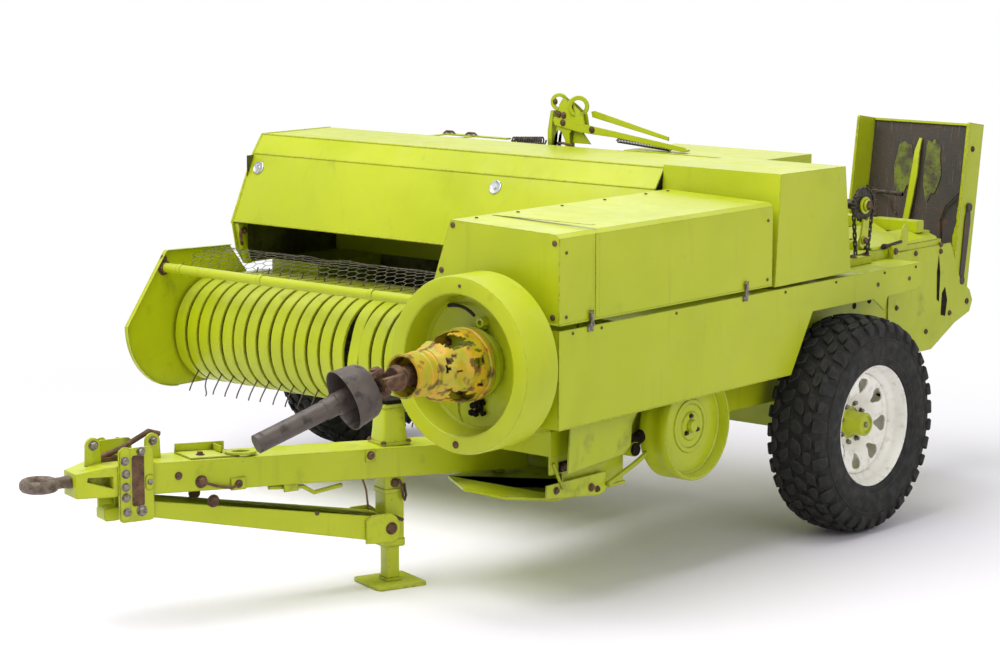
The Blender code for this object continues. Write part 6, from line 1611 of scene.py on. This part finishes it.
def buildKnotterDrive():
    # the chain sprocket on the knotter shaft, with its roller chain and green hub
    centre = Vector((0.169, 1.105))
    x = 0.926
    shaft, chain, hubShape = bmesh.new(), bmesh.new(), bmesh.new()
    addRod(shaft, onMachine(0.4055, *centre), onMachine(0.952, *centre), 0.0172, 28)
    teeth = 20
    outline = []
    for n in range(teeth):
        for share, radius in ((0.0, 0.0565), (0.22, 0.0598), (0.38, 0.0598), (0.60, 0.0565), (0.80, 0.0545)):
            angle = 2 * math.pi * (n + share) / teeth
            outline.append((centre.x + radius * math.cos(angle), centre.y + radius * math.sin(angle)))
    pushOutline(shaft, outline, alongX(x - 0.003), 0.007)
    piece = finishPiece("knotter_drive_shaft", shaft, oiledSteel, "root", smooth=40)
    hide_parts("knotter_shaft")
    path = [(centre.x + 0.0605 * math.cos(a), centre.y + 0.0605 * math.sin(a)) for a in (math.radians(d) for d in range(-20, 200, 12))]
    end = (0.128, 0.935)
    steps = 10
    path += [(path[-1][0] + (end[0] - path[-1][0]) * k / steps, path[-1][1] + (end[1] - path[-1][1]) * k / steps) for k in range(1, steps + 1)]
    path = [(0.200, 0.935)] + [(0.200 + (path[0][0] - 0.200) * k / steps, 0.935 + (path[0][1] - 0.935) * k / steps) for k in range(1, steps)] + path
    for n, ((y0, z0), (y1, z1)) in enumerate(zip(path, path[1:])):
        offset = 0.0050 if n % 2 else 0.0028
        for way in (-1, 1):
            addTube(chain, [onMachine(x + 0.0005 + way * offset, y0, z0), onMachine(x + 0.0005 + way * offset, y1, z1)], 0.0034, 6)
        addRod(chain, onMachine(x - 0.006, y0, z0), onMachine(x + 0.007, y0, z0), 0.0040, 10)
    finishPiece("roller_chain", chain, oiledSteel, "root", smooth=40)
    for radius, start, end in ((0.030, 0.9305, 0.940), (0.020, 0.940, 0.951)):
        turnProfile(hubShape, [(0, start), (radius - 0.002, start), (radius, start + 0.002), (radius, end - 0.002), (radius - 0.002, end), (0, end)],
                    facing(onMachine(0, *centre), (1, 0, 0)), 32, ring=False)
    arm = [(0.150, 1.060), (0.170, 1.052), (0.188, 1.066), (0.178, 0.985), (0.150, 0.955), (0.128, 0.968), (0.140, 1.010)]
    pushOutline(hubShape, arm, alongX(0.9345), 0.008)
    addRod(hubShape, onMachine(0.930, 0.150, 0.985), onMachine(0.950, 0.150, 0.985), 0.013, 20)
    finishPiece("sprocket_hub", hubShape, castEnamel, "root", smooth=35, bevel=0.0008)
    nut = bmesh.new()
    addBolt(nut, onMachine(0.951, *centre), (1, 0, 0), 0.022, 0.010)
    addBolt(nut, onMachine(0.950, 0.150, 0.985), (1, 0, 0), 0.016, 0.008)
    finishPiece("sprocket_nuts", nut, rustedForging, "root")


print("rear")
buildChute()
buildRearFittings()
buildKnotterDrive()


# Feeder levers on top of the hood


def slab(bm, outline, y, thick):
    pushOutline(bm, outline, alongY(y), thick)


def buildLevers():
    middle = 0.045
    green, irons, spring = bmesh.new(), bmesh.new(), bmesh.new()
    plate = [(-0.352, 1.2003), (-0.336, 1.2003), (-0.330, 1.330), (-0.318, 1.395), (-0.300, 1.420), (-0.262, 1.404), (-0.205, 1.366), (-0.196, 1.320), (-0.250, 1.318), (-0.268, 1.290),
             (-0.262, 1.2003), (-0.285, 1.2003), (-0.290, 1.265), (-0.310, 1.300), (-0.325, 1.300), (-0.336, 1.280)]
    for y in (middle - 0.010, middle + 0.014):
        slab(green, plate, y, 0.004)
    slab(green, [(-0.352, 1.2003), (-0.372, 1.2003), (-0.372, 1.300), (-0.358, 1.372), (-0.345, 1.372), (-0.352, 1.300)], middle + 0.014, 0.028)
    for x, z, radius, tilt in ((-0.327, 1.404, 0.0330, 0.5), (-0.238, 1.392, 0.0400, 0.9)):
        ringPlace = facing(onMachine(x, middle, z), (tilt, -1, 0))
        turnProfile(green, [(radius * 0.60, -0.007), (radius * 0.95, -0.007), (radius, -0.004), (radius, 0.004), (radius * 0.95, 0.007), (radius * 0.60, 0.007)], ringPlace, 40)
    piece = finishPiece("packer_lever", green, castEnamel, "root", smooth=35, bevel=0.001)
    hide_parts("feeder_lever")

    arm = bmesh.new()
    slab(arm, [(-0.345, 1.338), (-0.338, 1.350), (-0.200, 1.330), (0.262, 1.272), (0.270, 1.258), (0.255, 1.2565), (-0.060, 1.2900), (-0.215, 1.2985), (-0.335, 1.318)], middle - 0.012, 0.006)
    slab(arm, [(-0.205, 1.372), (-0.190, 1.376), (0.150, 1.300), (0.150, 1.286), (-0.200, 1.352)], middle + 0.040, 0.006)
    slab(arm, [(-0.335, 1.318), (-0.215, 1.2985), (-0.060, 1.2900), (0.255, 1.2565), (0.255, 1.2620), (-0.060, 1.2955), (-0.215, 1.3040), (-0.330, 1.3235)], middle + 0.024, 0.036)
    slab(arm, [(-0.268, 1.2560), (-0.180, 1.2560), (-0.236, 1.318), (-0.256, 1.318)], middle + 0.006, 0.005)
    piece = finishPiece("packer_arm", arm, frameEnamel, "root", smooth=30, bevel=0.001)
    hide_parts("feeder_arm")

    addSpring(spring, onMachine(-0.560, middle, 1.246), onMachine(-0.390, middle, 1.256), 0.0135, 0.0034, 13, hook=0.012)
    piece = finishPiece("lever_spring", spring, rustedThinSteel, "root", smooth=60)
    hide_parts("feeder_spring")
    dark = bmesh.new()
    addSpring(dark, onMachine(-0.080, middle + 0.022, 1.2760), onMachine(0.175, middle + 0.022, 1.2580), 0.0070, 0.0018, 34, hook=0.008)
    finishPiece("arm_spring", dark, rustedThinSteel, "root", smooth=60)

    for x, z, y in ((-0.318, 1.360, middle - 0.014), (-0.296, 1.357, middle - 0.014), (-0.296, 1.330, middle - 0.018), (-0.160, 1.312, middle - 0.018), (-0.340, 1.405, middle - 0.010)):
        addBolt(irons, onMachine(x, y, z), (0, -1, 0), 0.016, 0.007, turn=x * 9)
    addTube(irons, [onMachine(-0.345, middle, 1.250), onMachine(-0.300, middle - 0.012, 1.254), onMachine(-0.255, middle - 0.014, 1.248)], 0.005, 8)
    for x in (-0.855, -0.745):
        addTube(irons, [onMachine(x - 0.028, 0.030, 1.2560), onMachine(x - 0.010, 0.024, 1.2660), onMachine(x + 0.022, 0.024, 1.2660), onMachine(x + 0.030, 0.030, 1.2560)], 0.0040, 8)
        addBolt(irons, onMachine(x, 0.030, 1.2600), (0, 0, 1), 0.014, 0.008)
    finishPiece("lever_bolts", irons, rustedForging, "root", smooth=40)

    strap = bmesh.new()
    addBlock(strap, (-0.880, 0.018, 1.2515), (-0.560, 0.044, 1.2575), machineFrame)
    addBlock(strap, (-0.880, -0.060, 1.2515), (-0.860, 0.018, 1.2555), machineFrame)
    addBlock(strap, (-0.740, -0.060, 1.2515), (-0.720, 0.018, 1.2555), machineFrame)
    finishPiece("lever_strap", strap, frameEnamel, "root", smooth=30, bevel=0.0008)


print("levers")
buildLevers()


def roundEdges(part, width):
    # folded sheet and rolled section have small radii, which catch the light
    weld = part.modifiers.new("weld", "WELD")
    weld.merge_threshold = 0.00001
    flat = part.modifiers.new("flat_faces", "DECIMATE")
    flat.decimate_type = "DISSOLVE"
    flat.angle_limit = math.radians(0.5)
    rounding = part.modifiers.new("rounded_edges", "BEVEL")
    rounding.width = width
    rounding.segments = 2
    rounding.limit_method = "ANGLE"
    rounding.angle_limit = math.radians(35)


print("rounded edges")
sectionNodes = ("main_frame", "axle_beam", "drawbar_beam", "drawbar_stay", "tension_rail_left", "tension_rail_right", "tension_crossbar", "needle_yoke", "lever_beam", "chute_brace",
                "gearbox")
for nodeName, node in nodes.items():
    if not node.hide_render:
        roundEdges(node, 0.0035 if nodeName in sectionNodes else 0.0012)
